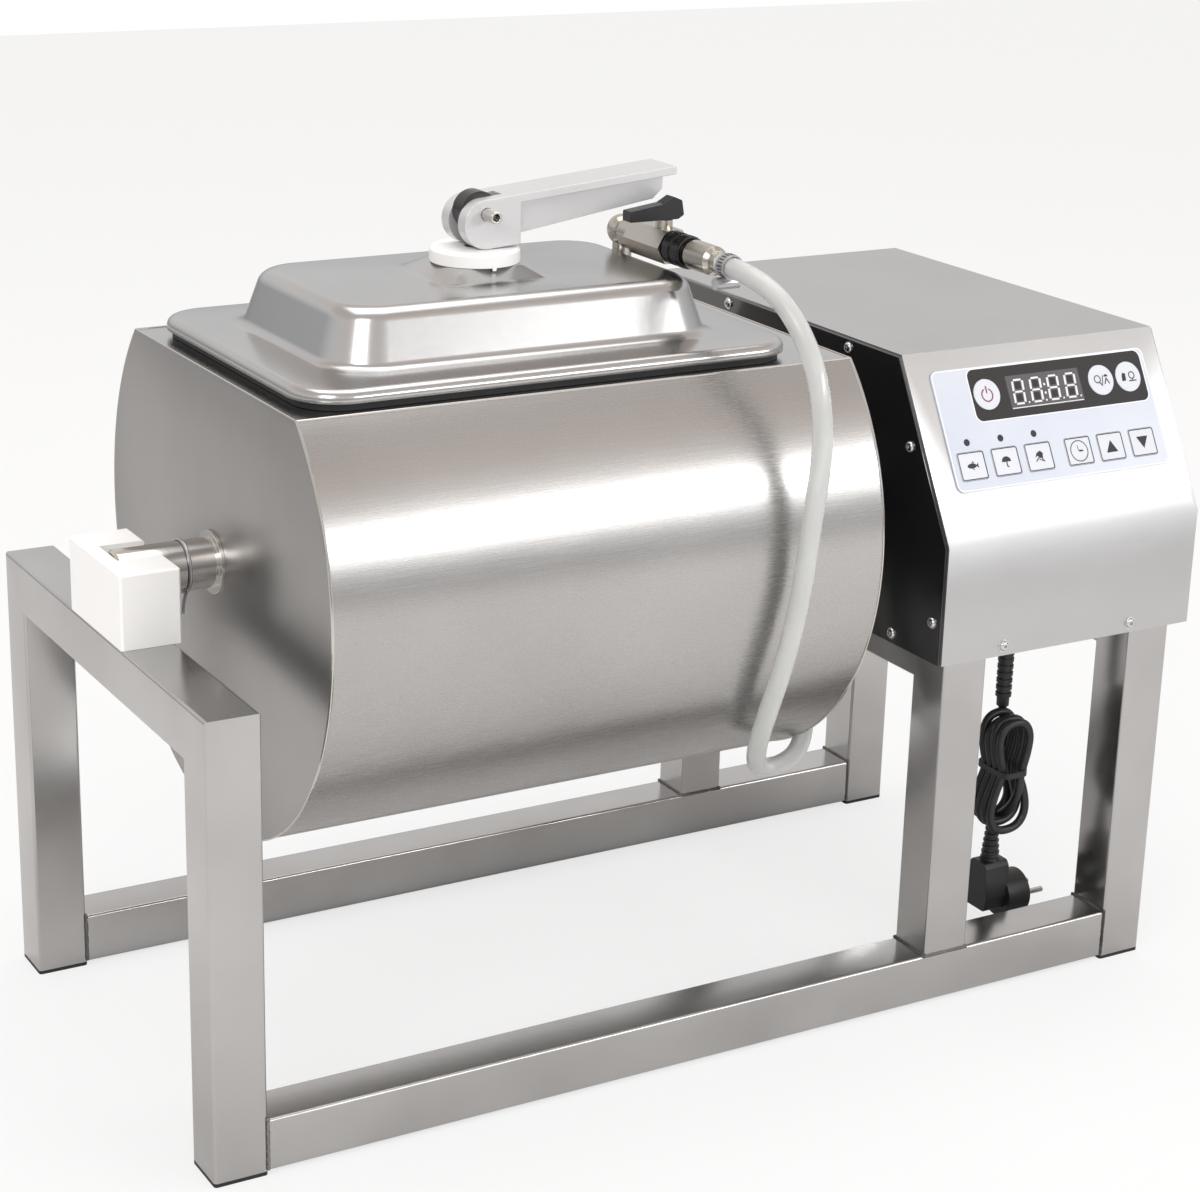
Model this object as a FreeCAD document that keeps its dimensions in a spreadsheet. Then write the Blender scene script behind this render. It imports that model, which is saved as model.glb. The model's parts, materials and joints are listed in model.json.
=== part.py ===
import FreeCAD, Part
import math
import os

import Sketcher
from FreeCAD import Placement, Rotation, Vector

# Vacuum tumbler for meat: a stainless drum lies on its side between a bearing
# block on the left and a drive box on the right, all on one square-tube frame.
# +X runs along the drum to the drive box, +Y to the back, +Z up from the floor.

doc = FreeCAD.newDocument("vacuum_tumbler")
sheet = doc.addObject("Spreadsheet::Sheet", "Sizes")

SIZES = {
    # frame
    "overall_length": 840.0, "frame_inset": 18.0, "frame_width": 406.0,
    "tube": 40.0, "tube_wall": 2.0, "tube_edge": 2.5, "foot_pad": 3.0, "foot_spigot": 12.0,
    "left_height": 343.0, "right_height": 306.0, "leg_inset": 8.0,
    # bearing block and drum shaft
    "block_width": 45.0, "block_depth": 104.0, "block_height": 55.6, "block_seat": 38.6,
    "block_end_wall": 11.0, "block_screw_pitch": 72.0, "block_screw_bore": 6.0,
    "shaft_radius": 18.5, "shaft_length": 77.0, "shaft_ring_wire": 1.6, "shaft_ring_place": 25.0,
    "running_gap": 0.1, "small_gap": 0.3,
    # drum
    "drum_gap": 50.0, "drive_gap": 56.0, "drum_radius": 203.5, "drum_flat": 139.5,
    "drum_wall": 2.0, "mouth_margin": 42.0, "mouth_width": 200.0, "mouth_corner": 30.0,
    "baffle_height": 44.0, "baffle_thickness": 3.0, "baffle_spread": 68.0,
    # lid
    "lid_shift": 14.0, "lid_margin": 26.0, "lid_width": 284.0, "lid_corner": 36.0,
    "lid_rim": 9.0, "lid_sheet": 2.0, "lid_roll": 6.5, "gasket_height": 5.9,
    "gasket_width": 16.0, "gasket_inset": 4.0, "dome_margin": 42.0,
    "dome_height": 41.0, "dome_draft": 13.0, "dome_corner": 38.0, "dome_edge": 12.0,
    "dome_foot": 7.0, "boss_foot_radius": 56.0, "boss_top_radius": 37.0, "boss_height": 8.0,
    # clamp and cam lever
    "puck_radius": 33.5, "puck_height": 11.0, "stud_radius": 7.0, "eye_radius": 15.0,
    "eye_thickness": 14.4, "bar_grip": 30.0, "bar_width": 30.0, "bar_height": 12.0,
    "cam_radius": 18.0, "cam_offset": 7.5, "ear_length": 28.0, "lever_width": 38.0,
    "lever_slot": 15.0, "lever_reach": 160.0, "lever_rise": 16.6, "lever_flange": 6.0,
    "lever_web": 18.0, "pin_radius": 4.6, "pin_front": 15.0,
    "pin_back": 2.5, "pin_bore": 2.6,
    # vacuum valve and coupling
    "valve_margin": 51.0, "valve_lift": 14.0, "nipple_place": 35.0, "nipple_radius": 7.5,
    "elbow_radius": 12.0, "union_radius": 12.5, "union_length": 13.0, "hex_flats": 25.0,
    "hex_length": 51.0, "stem_place": 36.0, "valve_bore": 4.5, "ball_radius": 9.0,
    "stem_radius": 3.5, "handle_arm": 33.0, "handle_fin": 14.0, "handle_width": 11.0,
    "collar_radius": 12.0, "collar_length": 24.0, "coupler_radius": 11.0,
    "coupler_length": 60.0, "tail_radius": 7.5, "tail_length": 7.0, "sleeve_travel": 4.0,
    "clamp_radius": 9.0, "clamp_length": 10.0, "hose_radius": 7.5,
    # drive box
    "box_length": 248.0, "box_front": 206.0, "box_back": 214.0, "box_bottom": 288.0,
    "box_top": 514.0, "slope_top": 132.0, "slope_bottom": 382.0, "box_sheet": 1.5,
    "side_sheet": 2.0, "side_inset": 2.0, "box_flange": 15.0, "screw_inset": 8.0,
    "screw_head": 4.0, "screw_crown": 2.4, "screw_core": 2.0, "screw_length": 7.5,
    "tray_sheet": 2.0, "tray_lip": 16.0,
    # control panel, measured down the slope from its upper bend
    "panel_x": 298.0, "panel_place": 63.75, "panel_length": 208.0, "panel_width": 95.5,
    "panel_sheet": 1.2, "panel_corner": 6.0, "window_margin": 19.0, "window_width": 41.0,
    "window_shift": 14.5, "window_place": 38.5, "key_gap": 0.3, "key_proud": 0.4,
    "round_key": 12.2, "square_key": 25.0, "square_key_width": 22.0, "key_start": 18.5,
    "key_end": 22.5, "key_break": 7.0, "power_key_inset": 14.5, "mode_key_inset": 43.5,
    "light_key_inset": 16.0,
    "key_row": 92.0, "lamp_row": 73.5, "lamp_radius": 2.7, "board_depth": 8.0,
    # drive and vacuum pump
    "tang_plate": 35.0, "tang_seat": 8.0, "fork_radius": 28.0, "fork_slot": 12.6,
    "tang_length": 26.0, "tang_height": 40.0,
    "drive_shaft_radius": 10.0, "gearbox_size": 88.0, "gearbox_length": 62.0,
    "motor_radius": 38.0, "motor_length": 112.0, "bracket_sheet": 4.0,
    "port_radius": 73.5, "port_angle": 61.6, "port_reach": 38.0, "port_body": 7.5,
    "port_outlet": 19.4,
    "pump_length": 96.0, "pump_depth": 92.0, "pump_height": 50.0,
    # mains lead
    "cord_radius": 3.5, "cord_inset": 59.0, "cord_y": 125.0, "gland_radius": 11.0,
    "relief_length": 64.0, "gland_length": 34.0, "hank_drop": 2.0,
    "hank_length": 94.0, "plug_top": 72.0, "plug_bottom": 30.0, "plug_pin_z": 38.0,
    "plug_disc": 19.0, "plug_thickness": 24.0, "plug_face": 31.0, "plug_rib": 5.2,
}


class Size:
    """A length that keeps its number and the spreadsheet formula behind it."""

    def __init__(self, value, formula):
        self.value = value
        self.formula = formula

    def __add__(self, other):
        other = sized(other)
        return Size(self.value + other.value, "(%s + %s)" % (self.formula, other.formula))

    def __sub__(self, other):
        other = sized(other)
        return Size(self.value - other.value, "(%s - %s)" % (self.formula, other.formula))

    def __mul__(self, other):
        other = sized(other)
        return Size(self.value * other.value, "(%s * %s)" % (self.formula, other.formula))

    def __truediv__(self, other):
        other = sized(other)
        return Size(self.value / other.value, "(%s / %s)" % (self.formula, other.formula))

    def __radd__(self, other):
        return sized(other) + self

    def __rsub__(self, other):
        return sized(other) - self

    def __rmul__(self, other):
        return sized(other) * self

    def __neg__(self):
        return Size(-self.value, "(0 - %s)" % self.formula)


def sized(value):
    """A bare number as a Size."""
    if isinstance(value, Size):
        return value
    return Size(float(value), "%.6f" % value)


def root_of(value):
    """Square root of a Size."""
    return Size(math.sqrt(value.value), "sqrt(%s)" % value.formula)


def angle_of(rise, run):
    """Angle in degrees of a slope."""
    degrees = math.degrees(math.atan2(rise.value, run.value))
    return Size(degrees, "atan2(%s; %s) / 1 deg" % (rise.formula, run.formula))


def cosine(angle):
    return Size(math.cos(math.radians(angle.value)), "cos(%s * 1 deg)" % angle.formula)


def sine(angle):
    return Size(math.sin(math.radians(angle.value)), "sin(%s * 1 deg)" % angle.formula)


def fill_sheet():
    """Write every driving size to the sheet and return them by name."""
    named = {}
    for row, (name, value) in enumerate(SIZES.items(), start=1):
        sheet.set("A%d" % row, name)
        sheet.set("B%d" % row, str(value))
        sheet.setAlias("B%d" % row, name)
        named[name] = Size(value, "Sizes." + name)
    return named


class Named:
    """Reach each driving size as an attribute."""

    def __init__(self, named):
        self.__dict__.update(named)


d = Named(fill_sheet())
doc.recompute()


# ---------------------------------------------------------------- helpers

ALONG = {
    "X": Rotation(Vector(0, 1, 0), 90),
    "Y": Rotation(Vector(1, 0, 0), -90),
    "Z": Rotation(),
}


def place(item, x=0, y=0, z=0, turn=None):
    """Put an object at bound coordinates."""
    spot = [sized(x), sized(y), sized(z)]
    item.Placement = Placement(Vector(*[v.value for v in spot]), turn or Rotation())
    for axis, value in zip("xyz", spot):
        item.setExpression("Placement.Base." + axis, value.formula)
    return item


def bind(item, **sizes):
    """Set properties to sizes and keep the formulas."""
    for name, size in sizes.items():
        size = sized(size)
        setattr(item, name, size.value)
        item.setExpression(name, size.formula)
    return item


def box(name, length, width, height, x, y, z):
    item = doc.addObject("Part::Box", name)
    bind(item, Length=length, Width=width, Height=height)
    return place(item, x, y, z)


def cylinder(name, radius, height, x, y, z, along="Z"):
    item = doc.addObject("Part::Cylinder", name)
    bind(item, Radius=radius, Height=height)
    return place(item, x, y, z, ALONG[along])


def cone(name, radius_1, radius_2, height, x, y, z, along="Z"):
    item = doc.addObject("Part::Cone", name)
    bind(item, Radius1=radius_1, Radius2=radius_2, Height=height)
    return place(item, x, y, z, ALONG[along])


def fuse(name, *items):
    item = doc.addObject("Part::MultiFuse", name)
    item.Shapes = list(items)
    item.Refine = True
    return item


def cut(name, base, *tools):
    item = doc.addObject("Part::Cut", name)
    item.Base = base
    item.Tool = tools[0] if len(tools) == 1 else fuse(name + "_tools", *tools)
    return item


def common(name, first, second):
    item = doc.addObject("Part::Common", name)
    item.Base = first
    item.Tool = second
    return item


def group(name, items):
    item = doc.addObject("Part::Compound", name)
    item.Links = list(items)
    return item


def mirrored(name, source, normal=Vector(0, 1, 0)):
    """The same piece on the other side of the middle plane."""
    item = doc.addObject("Part::Mirroring", name)
    item.Source = source
    item.Normal = normal
    return item


def front_and_back(name, front):
    """A pair of identical pieces, one each side of the middle plane."""
    return group(name, [front, mirrored(name + "_back", front)])


def rounded(name, base, radius, chosen):
    """Round the chosen edges of a Part object."""
    doc.recompute()
    item = doc.addObject("Part::Fillet", name)
    item.Base = base
    size = sized(radius).value
    item.Edges = [(i, size, size) for i, e in enumerate(base.Shape.Edges, 1) if chosen(e)]
    return item


def new_body(name, x=0, y=0, z=0, turn=None):
    body = doc.addObject("PartDesign::Body", name)
    body.Label = name
    return place(body, x, y, z, turn)


def origin_part(body, role):
    return next(f for f in body.Origin.OriginFeatures if f.Role == role)


def new_sketch(body, role, lift=0):
    """A sketch on one of the body's own origin planes, lifted along its normal."""
    sketch = body.newObject("Sketcher::SketchObject", body.Name + "_sketch")
    sketch.AttachmentSupport = [(origin_part(body, role), "")]
    sketch.MapMode = "FlatFace"
    lift = sized(lift)
    sketch.AttachmentOffset = Placement(Vector(0, 0, lift.value), Rotation())
    sketch.setExpression("AttachmentOffset.Base.z", lift.formula)
    return sketch


def pin_point(sketch, geo, point, x, y):
    """Tie a sketch point to its distances from the sketch origin."""
    for kind, size in (("DistanceX", sized(x)), ("DistanceY", sized(y))):
        index = sketch.addConstraint(Sketcher.Constraint(kind, -1, 1, geo, point, size.value))
        sketch.setExpression("Constraints[%d]" % index, size.formula)


def outline(sketch, corners):
    """A closed outline through the corners, each tied to its sizes."""
    first = sketch.GeometryCount
    spots = [Vector(sized(x).value, sized(y).value, 0) for x, y in corners]
    count = len(spots)
    lines = [Part.LineSegment(spots[i], spots[(i + 1) % count]) for i in range(count)]
    sketch.addGeometry(lines, False)
    for i in range(count):
        following = first + (i + 1) % count
        sketch.addConstraint(Sketcher.Constraint("Coincident", first + i, 2, following, 1))
    for i, (x, y) in enumerate(corners):
        pin_point(sketch, first + i, 1, x, y)


def rectangle(sketch, x, y, width, height):
    """A rectangle about a centre."""
    outline(sketch, [(x - width / 2, y - height / 2), (x + width / 2, y - height / 2),
                     (x + width / 2, y + height / 2), (x - width / 2, y + height / 2)])


def circle(sketch, x, y, radius):
    radius = sized(radius)
    spot = Vector(sized(x).value, sized(y).value, 0)
    geo = sketch.addGeometry(Part.Circle(spot, Vector(0, 0, 1), radius.value), False)
    pin_point(sketch, geo, 3, x, y)
    index = sketch.addConstraint(Sketcher.Constraint("Radius", geo, radius.value))
    sketch.setExpression("Constraints[%d]" % index, radius.formula)


def pad(body, sketch, length, back=False, both=False, taper=0):
    item = body.newObject("PartDesign::Pad", body.Name + "_pad")
    item.Profile = sketch
    bind(item, Length=length)
    item.Reversed = back
    item.Midplane = both
    item.TaperAngle = taper
    sketch.Visibility = False
    return item


def pocket(body, sketch, length=None, back=False, both=False):
    """Cut a sketch out, right through when no length is given."""
    item = body.newObject("PartDesign::Pocket", body.Name + "_pocket")
    item.Profile = sketch
    if length is None:
        item.Type = "ThroughAll"
    else:
        bind(item, Length=length)
    item.Reversed = back
    item.Midplane = both
    return item


def revolve(body, sketch, axis):
    item = body.newObject("PartDesign::Revolution", body.Name + "_turned")
    item.Profile = sketch
    item.ReferenceAxis = (origin_part(body, axis), [""])
    item.Angle = 360
    return item


def edge_fillet(body, radius, chosen):
    """Round the chosen edges of a body's last feature."""
    doc.recompute()
    base = body.Tip
    names = ["Edge%d" % i for i, e in enumerate(base.Shape.Edges, 1) if chosen(e)]
    item = body.newObject("PartDesign::Fillet", body.Name + "_round")
    item.Base = (base, names)
    return bind(item, Radius=radius)


def edge_chamfer(body, size, chosen):
    """Bevel the chosen edges of a body's last feature."""
    doc.recompute()
    base = body.Tip
    names = ["Edge%d" % i for i, e in enumerate(base.Shape.Edges, 1) if chosen(e)]
    item = body.newObject("PartDesign::Chamfer", body.Name + "_bevel")
    item.Base = (base, names)
    return bind(item, Size=size)


def is_straight(edge):
    return edge.Curve.TypeId == "Part::GeomLine"


def runs_along(edge, axis):
    """True for a straight edge parallel to X, Y or Z."""
    if not is_straight(edge):
        return False
    return abs(getattr(edge.Curve.Direction, axis.lower())) > 0.999


def lies_at(edge, axis, value):
    """True for an edge that lies wholly at one height, depth or place."""
    box_of = edge.BoundBox
    low = getattr(box_of, axis + "Min")
    high = getattr(box_of, axis + "Max")
    return abs(low - sized(value).value) < 0.01 and abs(high - sized(value).value) < 0.01


# ------------------------------------------------------- shared positions

frame_left = -d.overall_length / 2
box_right = d.overall_length / 2
box_left = box_right - d.box_length
frame_right = box_right - d.frame_inset
half_width = d.frame_width / 2
rail_top = d.foot_pad + d.tube
inner_leg_x = box_left + d.leg_inset
outer_leg_x = frame_right - d.tube
axis_z = d.left_height + d.block_seat
drum_left = frame_left + d.tube + d.drum_gap
drum_right = box_left - d.drive_gap
drum_length = drum_right - drum_left
lid_length = drum_length - d.lid_margin * 2
mouth_length = lid_length - d.mouth_margin * 2
dome_length = lid_length - d.dome_margin * 2
dome_width = d.lid_width - d.dome_margin * 2
flat_z = axis_z + d.drum_flat
lid_x = (drum_left + drum_right) / 2 - d.lid_shift
valve_x = lid_x + lid_length / 2 - d.valve_margin
rim_z = flat_z + d.gasket_height
lid_z = rim_z + d.lid_rim
dome_z = lid_z + d.dome_height
puck_z = dome_z + d.boss_height
pin_z = puck_z + d.puck_height + d.small_gap + d.cam_radius + d.cam_offset
tray_z = d.right_height
slope_run = d.box_front - d.slope_top
slope_rise = d.box_top - d.slope_bottom
cord_x = outer_leg_x - d.cord_inset
window_length = d.panel_length - d.window_margin * 2
key_pitch = (d.panel_length - d.key_start - d.key_end - d.key_break) / 5


# ------------------------------------------------------------------ frame

def tube_bore():
    return d.tube - d.tube_wall * 2


def frame_post(name, x, foot, top):
    """An upright at the front with its top end mitred to the cross rail."""
    body = new_body(name, x)
    side = new_sketch(body, "YZ_Plane")
    outline(side, [(-half_width, foot), (d.tube - half_width, foot),
                   (d.tube - half_width, top - d.tube), (-half_width, top)])
    pad(body, side, d.tube)
    edge_fillet(body, d.tube_edge, lambda e: runs_along(e, "Z"))
    bore = new_sketch(body, "XY_Plane")
    rectangle(bore, d.tube / 2, d.tube / 2 - half_width, tube_bore(), tube_bore())
    pocket(body, bore, both=True)
    return body


def cross_rail(name, x, top):
    """A rail along Y that joins two uprights with mitred corners."""
    body = new_body(name, x)
    side = new_sketch(body, "YZ_Plane")
    outline(side, [(-half_width, top), (d.tube - half_width, top - d.tube),
                   (half_width - d.tube, top - d.tube), (half_width, top)])
    pad(body, side, d.tube)
    edge_fillet(body, d.tube_edge, lambda e: runs_along(e, "Y"))
    bore = new_sketch(body, "XZ_Plane")
    rectangle(bore, d.tube / 2, top - d.tube / 2, tube_bore(), tube_bore())
    pocket(body, bore, both=True)
    return body


def bottom_rail():
    """The front rail along X, between the left upright and the outer leg."""
    start = frame_left + d.tube
    body = new_body("bottom_rail", start)
    section = new_sketch(body, "YZ_Plane")
    middle_y = d.tube / 2 - half_width
    middle_z = d.foot_pad + d.tube / 2
    rectangle(section, middle_y, middle_z, d.tube, d.tube)
    pad(body, section, outer_leg_x - start)
    edge_fillet(body, d.tube_edge, lambda e: runs_along(e, "X"))
    bore = new_sketch(body, "YZ_Plane")
    rectangle(bore, middle_y, middle_z, tube_bore(), tube_bore())
    pocket(body, bore, both=True)
    return body


def foot_cap(name, x, y):
    """A pad under an upright with a spigot inside the tube."""
    body = new_body(name, x, y)
    sole = new_sketch(body, "XY_Plane")
    rectangle(sole, 0, 0, d.tube, d.tube)
    pad(body, sole, d.foot_pad)
    edge_fillet(body, d.tube_edge, lambda e: runs_along(e, "Z"))
    plug = new_sketch(body, "XY_Plane", d.foot_pad)
    rectangle(plug, 0, 0, tube_bore() - d.small_gap * 2, tube_bore() - d.small_gap * 2)
    pad(body, plug, d.foot_spigot)
    return body


def block_bolt_spots():
    return [(frame_left + d.tube / 2, side * d.block_screw_pitch / 2) for side in (-1, 1)]


def left_cross_rail():
    """The left cross rail, drilled for the two screws that hold the block."""
    rail = cross_rail("left_rail", frame_left, d.left_height)
    drills = []
    for number, (x, y) in enumerate(block_bolt_spots()):
        drills.append(cylinder("rail_drill_%d" % number, d.block_screw_bore / 2 + d.running_gap,
                               d.tube, x, y, d.left_height - d.tube / 2))
        drills.append(cylinder("rail_access_%d" % number, d.block_screw_bore,
                               d.tube, x, y, d.left_height - d.tube * 3 / 2))
    return cut("left_rail_drilled", rail, *drills)


def make_frame():
    start = frame_left
    left = frame_post("left_post", start, d.foot_pad, d.left_height)
    inner = frame_post("inner_leg", inner_leg_x, rail_top, d.right_height)
    outer = frame_post("outer_leg", outer_leg_x, d.foot_pad, d.right_height)
    front_and_back("left_posts", left)
    front_and_back("inner_legs", inner)
    front_and_back("outer_legs", outer)
    front_and_back("bottom_rails", bottom_rail())
    group("cross_rails", [left_cross_rail(),
                          cross_rail("inner_rail", inner_leg_x, d.right_height),
                          cross_rail("outer_rail", outer_leg_x, d.right_height)])
    caps = []
    for x in (frame_left + d.tube / 2, frame_right - d.tube / 2):
        for side in (-1, 1):
            caps.append(foot_cap("foot_cap_%d" % len(caps), x, side * (half_width - d.tube / 2)))
    group("foot_caps", caps)


def bearing_block():
    """The block with a U slot, open at the top and towards the drum."""
    body = new_body("block_body", frame_left, 0, axis_z)
    face = new_sketch(body, "YZ_Plane")
    rectangle(face, 0, d.block_height / 2 - d.block_seat, d.block_depth, d.block_height)
    pad(body, face, d.block_width)
    top = d.block_height - d.block_seat
    edge_chamfer(body, 1.5, lambda e: lies_at(e, "Z", top) or runs_along(e, "Z"))
    seat = d.shaft_radius + d.running_gap
    slot = new_sketch(body, "YZ_Plane", d.block_end_wall)
    rectangle(slot, 0, d.block_height / 2, seat * 2, d.block_height)
    pocket(body, slot, back=True)
    cradle = new_sketch(body, "YZ_Plane", d.block_end_wall)
    circle(cradle, 0, 0, seat)
    pocket(body, cradle, back=True)
    drills = []
    for number, (x, y) in enumerate(block_bolt_spots()):
        drills.append(cylinder("block_drill_%d" % number, d.block_screw_bore / 2 + d.running_gap,
                               d.block_height / 2, x, y, d.left_height))
    return cut("bearing_block", body, *drills)


def block_screws():
    """Two cap screws that come up through the rail into the block."""
    screws = []
    for number, (x, y) in enumerate(block_bolt_spots()):
        under = d.left_height - d.tube_wall
        shank = cylinder("block_shank_%d" % number, d.block_screw_bore / 2, d.block_height / 3,
                         x, y, under)
        head = cylinder("block_head_%d" % number, d.block_screw_bore * 0.8,
                        d.block_screw_bore * 0.7, x, y, under - d.block_screw_bore * 0.7)
        screws.append(fuse("block_screw_%d" % number, shank, head))
    return group("block_screws", screws)


# ------------------------------------------------------------------- drum

def drum_slab(name, low, high):
    """A block that spans the drum between two heights above its axis."""
    reach = d.drum_radius + 1
    return box(name, drum_length, reach * 2, high - low, drum_left, -reach, axis_z + low)


def drum_core(name, radius):
    return cylinder(name, radius, drum_length, drum_left, 0, axis_z, "X")


def drum_shell():
    """The rolled sheet, open where the flat top plate closes it."""
    inner = d.drum_radius - d.drum_wall
    length = drum_length - d.drum_wall * 2
    skin = cylinder("shell_skin", d.drum_radius, length, drum_left + d.drum_wall, 0, axis_z, "X")
    above = drum_slab("shell_above", d.drum_flat, d.drum_radius + 1)
    return cut("drum_shell", skin, drum_core("shell_core", inner), above)


def drum_top_plate():
    """The flat sheet between the shell's edges, with the loading mouth."""
    slab = drum_slab("plate_slab", d.drum_flat - d.drum_wall, d.drum_flat)
    length = drum_length - d.drum_wall * 2
    fill = cylinder("plate_fill", d.drum_radius - d.drum_wall, length,
                    drum_left + d.drum_wall, 0, axis_z, "X")
    mouth = rounded_plate("plate_mouth", mouth_length, d.mouth_width, d.mouth_corner,
                          d.drum_wall * 4, lid_x, 0, flat_z - d.drum_wall * 2)
    return cut("drum_top_plate", common("plate_blank", fill, slab), mouth)


def drum_end(name, x):
    """A flat end disc, cut level with the top plate."""
    disc = cylinder(name + "_disc", d.drum_radius, d.drum_wall, x, 0, axis_z, "X")
    above = drum_slab(name + "_above", d.drum_flat, d.drum_radius + 1)
    return cut(name, disc, above)


def rounded_plate(name, length, width, corner, height, x, y, z):
    """A flat plate with rounded corners."""
    body = new_body(name, x, y, z)
    face = new_sketch(body, "XY_Plane")
    rectangle(face, 0, 0, length, width)
    pad(body, face, height)
    edge_fillet(body, corner, lambda e: runs_along(e, "Z"))
    return body


def drum_baffles():
    """Three lifting fins along the inside of the shell."""
    fins = []
    for step in (-1, 0, 1):
        turn = Rotation(Vector(1, 0, 0), step * d.baffle_spread.value)
        body = new_body("baffle_%d" % (step + 2), drum_left + d.drum_wall + d.baffle_height / 4,
                        0, axis_z, turn)
        body.setExpression("Placement.Rotation.Angle", "abs(%s)" % (step * d.baffle_spread).formula)
        section = new_sketch(body, "YZ_Plane")
        seat = -(d.drum_radius - d.drum_wall - d.small_gap)
        half = d.baffle_thickness / 2
        foot = d.baffle_thickness * 4
        outline(section, [(-half, seat + 1), (foot, seat + 1), (foot, seat + d.baffle_thickness + 1),
                          (half, seat + d.baffle_thickness + 1), (half, seat + d.baffle_height),
                          (-half, seat + d.baffle_height)])
        pad(body, section, drum_length - d.drum_wall * 2 - d.baffle_height / 2)
        fins.append(body)
    return group("drum_baffles", fins)


def stub_shaft():
    """The left shaft with a weld flange, a ring groove and a bevelled end."""
    body = new_body("stub_shaft", drum_left, 0, axis_z)
    half = new_sketch(body, "XZ_Plane")
    flange = d.shaft_radius + 5
    groove = -d.shaft_ring_place
    wire = d.shaft_ring_wire
    outline(half, [(0, 0), (0, flange), (-3, flange), (-3, d.shaft_radius),
                   (groove + wire, d.shaft_radius), (groove + wire, d.shaft_radius - 1),
                   (groove - wire, d.shaft_radius - 1), (groove - wire, d.shaft_radius),
                   (2 - d.shaft_length, d.shaft_radius), (-d.shaft_length, d.shaft_radius - 2),
                   (-d.shaft_length, 0)])
    revolve(body, half, "X_Axis")
    return body


def shaft_ring():
    """A wire ring in the shaft's groove."""
    item = doc.addObject("Part::Torus", "shaft_ring")
    bind(item, Radius1=d.shaft_radius - 1 + d.shaft_ring_wire + d.running_gap,
         Radius2=d.shaft_ring_wire - d.running_gap)
    return place(item, drum_left - d.shaft_ring_place, 0, axis_z, ALONG["X"])


def drum_tang():
    """The flat driving tongue on the drum's right end."""
    plate = cylinder("tang_plate", d.tang_plate, d.tang_seat, drum_right, 0, axis_z, "X")
    thick = d.fork_slot - d.small_gap * 2
    blade = box("tang_blade", d.tang_length + d.tang_seat, thick, d.tang_height, drum_right,
                -thick / 2, axis_z - d.tang_height / 2)
    return fuse("drum_tang", plate, blade)


def drive_fork():
    """The slotted coupling and its shaft, which the tongue drops into."""
    start = drum_right + d.tang_seat + 4
    length = d.tang_length + 4
    hub = cylinder("fork_hub", d.fork_radius, length, start, 0, axis_z, "X")
    shaft = cylinder("fork_shaft", d.drive_shaft_radius, box_left - start + 38, start, 0,
                     axis_z, "X")
    reach = d.fork_radius + 1
    slot = box("fork_slot", d.tang_length - 3, d.fork_slot, reach * 2, start,
               -d.fork_slot / 2, axis_z - reach)
    return cut("drive_fork", fuse("fork_blank", hub, shaft), slot)


def make_drum():
    drum_shell()
    drum_top_plate()
    drum_end("drum_end_left", drum_left)
    drum_end("drum_end_right", drum_right - d.drum_wall)
    drum_baffles()
    stub_shaft()
    shaft_ring()
    drum_tang()


# -------------------------------------------------------------------- lid

def lid_form(name, inset):
    """The lid's pressed form, smaller by the inset for its inside."""
    flange = new_body(name + "_flange", lid_x, 0, 0)
    base = new_sketch(flange, "XY_Plane", rim_z)
    rectangle(base, 0, 0, lid_length - inset * 2, d.lid_width - inset * 2)
    pad(flange, base, d.lid_rim - inset)
    edge_fillet(flange, d.lid_corner - inset, lambda e: runs_along(e, "Z"))
    edge_fillet(flange, d.lid_roll - inset, lambda e: lies_at(e, "Z", lid_z - inset))
    dome = new_body(name + "_dome", lid_x, 0, 0)
    foot = new_sketch(dome, "XY_Plane", rim_z)
    slope = d.dome_draft / d.dome_height
    spread = (slope * d.lid_rim - inset) * 2
    rectangle(foot, 0, 0, dome_length + spread, dome_width + spread)
    slant = math.degrees(math.atan(slope.value))
    pad(dome, foot, d.dome_height + d.lid_rim - inset, taper=-slant)
    edge_fillet(dome, d.dome_corner - inset, leans)
    edge_fillet(dome, d.dome_edge - inset, lambda e: lies_at(e, "Z", dome_z - inset))
    blank = fuse(name + "_blank", flange, dome)
    level = lid_z - inset
    return rounded(name, blank, d.dome_foot + inset,
                   lambda e: lies_at(e, "Z", level) and is_inner(e))


def leans(edge):
    """True for the slanting corner edges of the dome."""
    return edge.BoundBox.ZLength > d.dome_height.value / 2


def is_inner(edge):
    """True for an edge of the ring where the dome stands on the flange."""
    middle = edge.CenterOfMass
    reach_x = (dome_length / 2).value + 8
    reach_y = (dome_width / 2).value + 8
    return abs(middle.x - lid_x.value) < reach_x and abs(middle.y) < reach_y


def lid_pan():
    """The pressed lid: a rolled rim, a tall dome and a low boss on it."""
    outer = lid_form("lid_outer", sized(0))
    inner = lid_form("lid_inner", d.lid_sheet)
    boss = cone("lid_boss", d.boss_foot_radius, d.boss_top_radius, d.boss_height + d.lid_sheet,
                lid_x, 0, dome_z - d.lid_sheet)
    hollow = cone("lid_boss_hollow", d.boss_foot_radius - d.lid_sheet * 2,
                  d.boss_top_radius - d.lid_sheet, d.boss_height + d.lid_sheet, lid_x, 0,
                  dome_z - d.lid_sheet * 2)
    stud_hole = cylinder("lid_stud_hole", d.stud_radius + 0.6, d.lid_sheet * 12, lid_x, 0,
                         dome_z - d.lid_sheet * 2)
    port_hole = cylinder("lid_port_hole", d.nipple_radius + d.running_gap,
                         d.dome_height * 2, valve_x, d.nipple_place, rim_z)
    pan = fuse("lid_blank", cut("lid_shell", outer, inner), boss)
    return cut("lid_pan", pan, hollow, stud_hole, port_hole)


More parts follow.
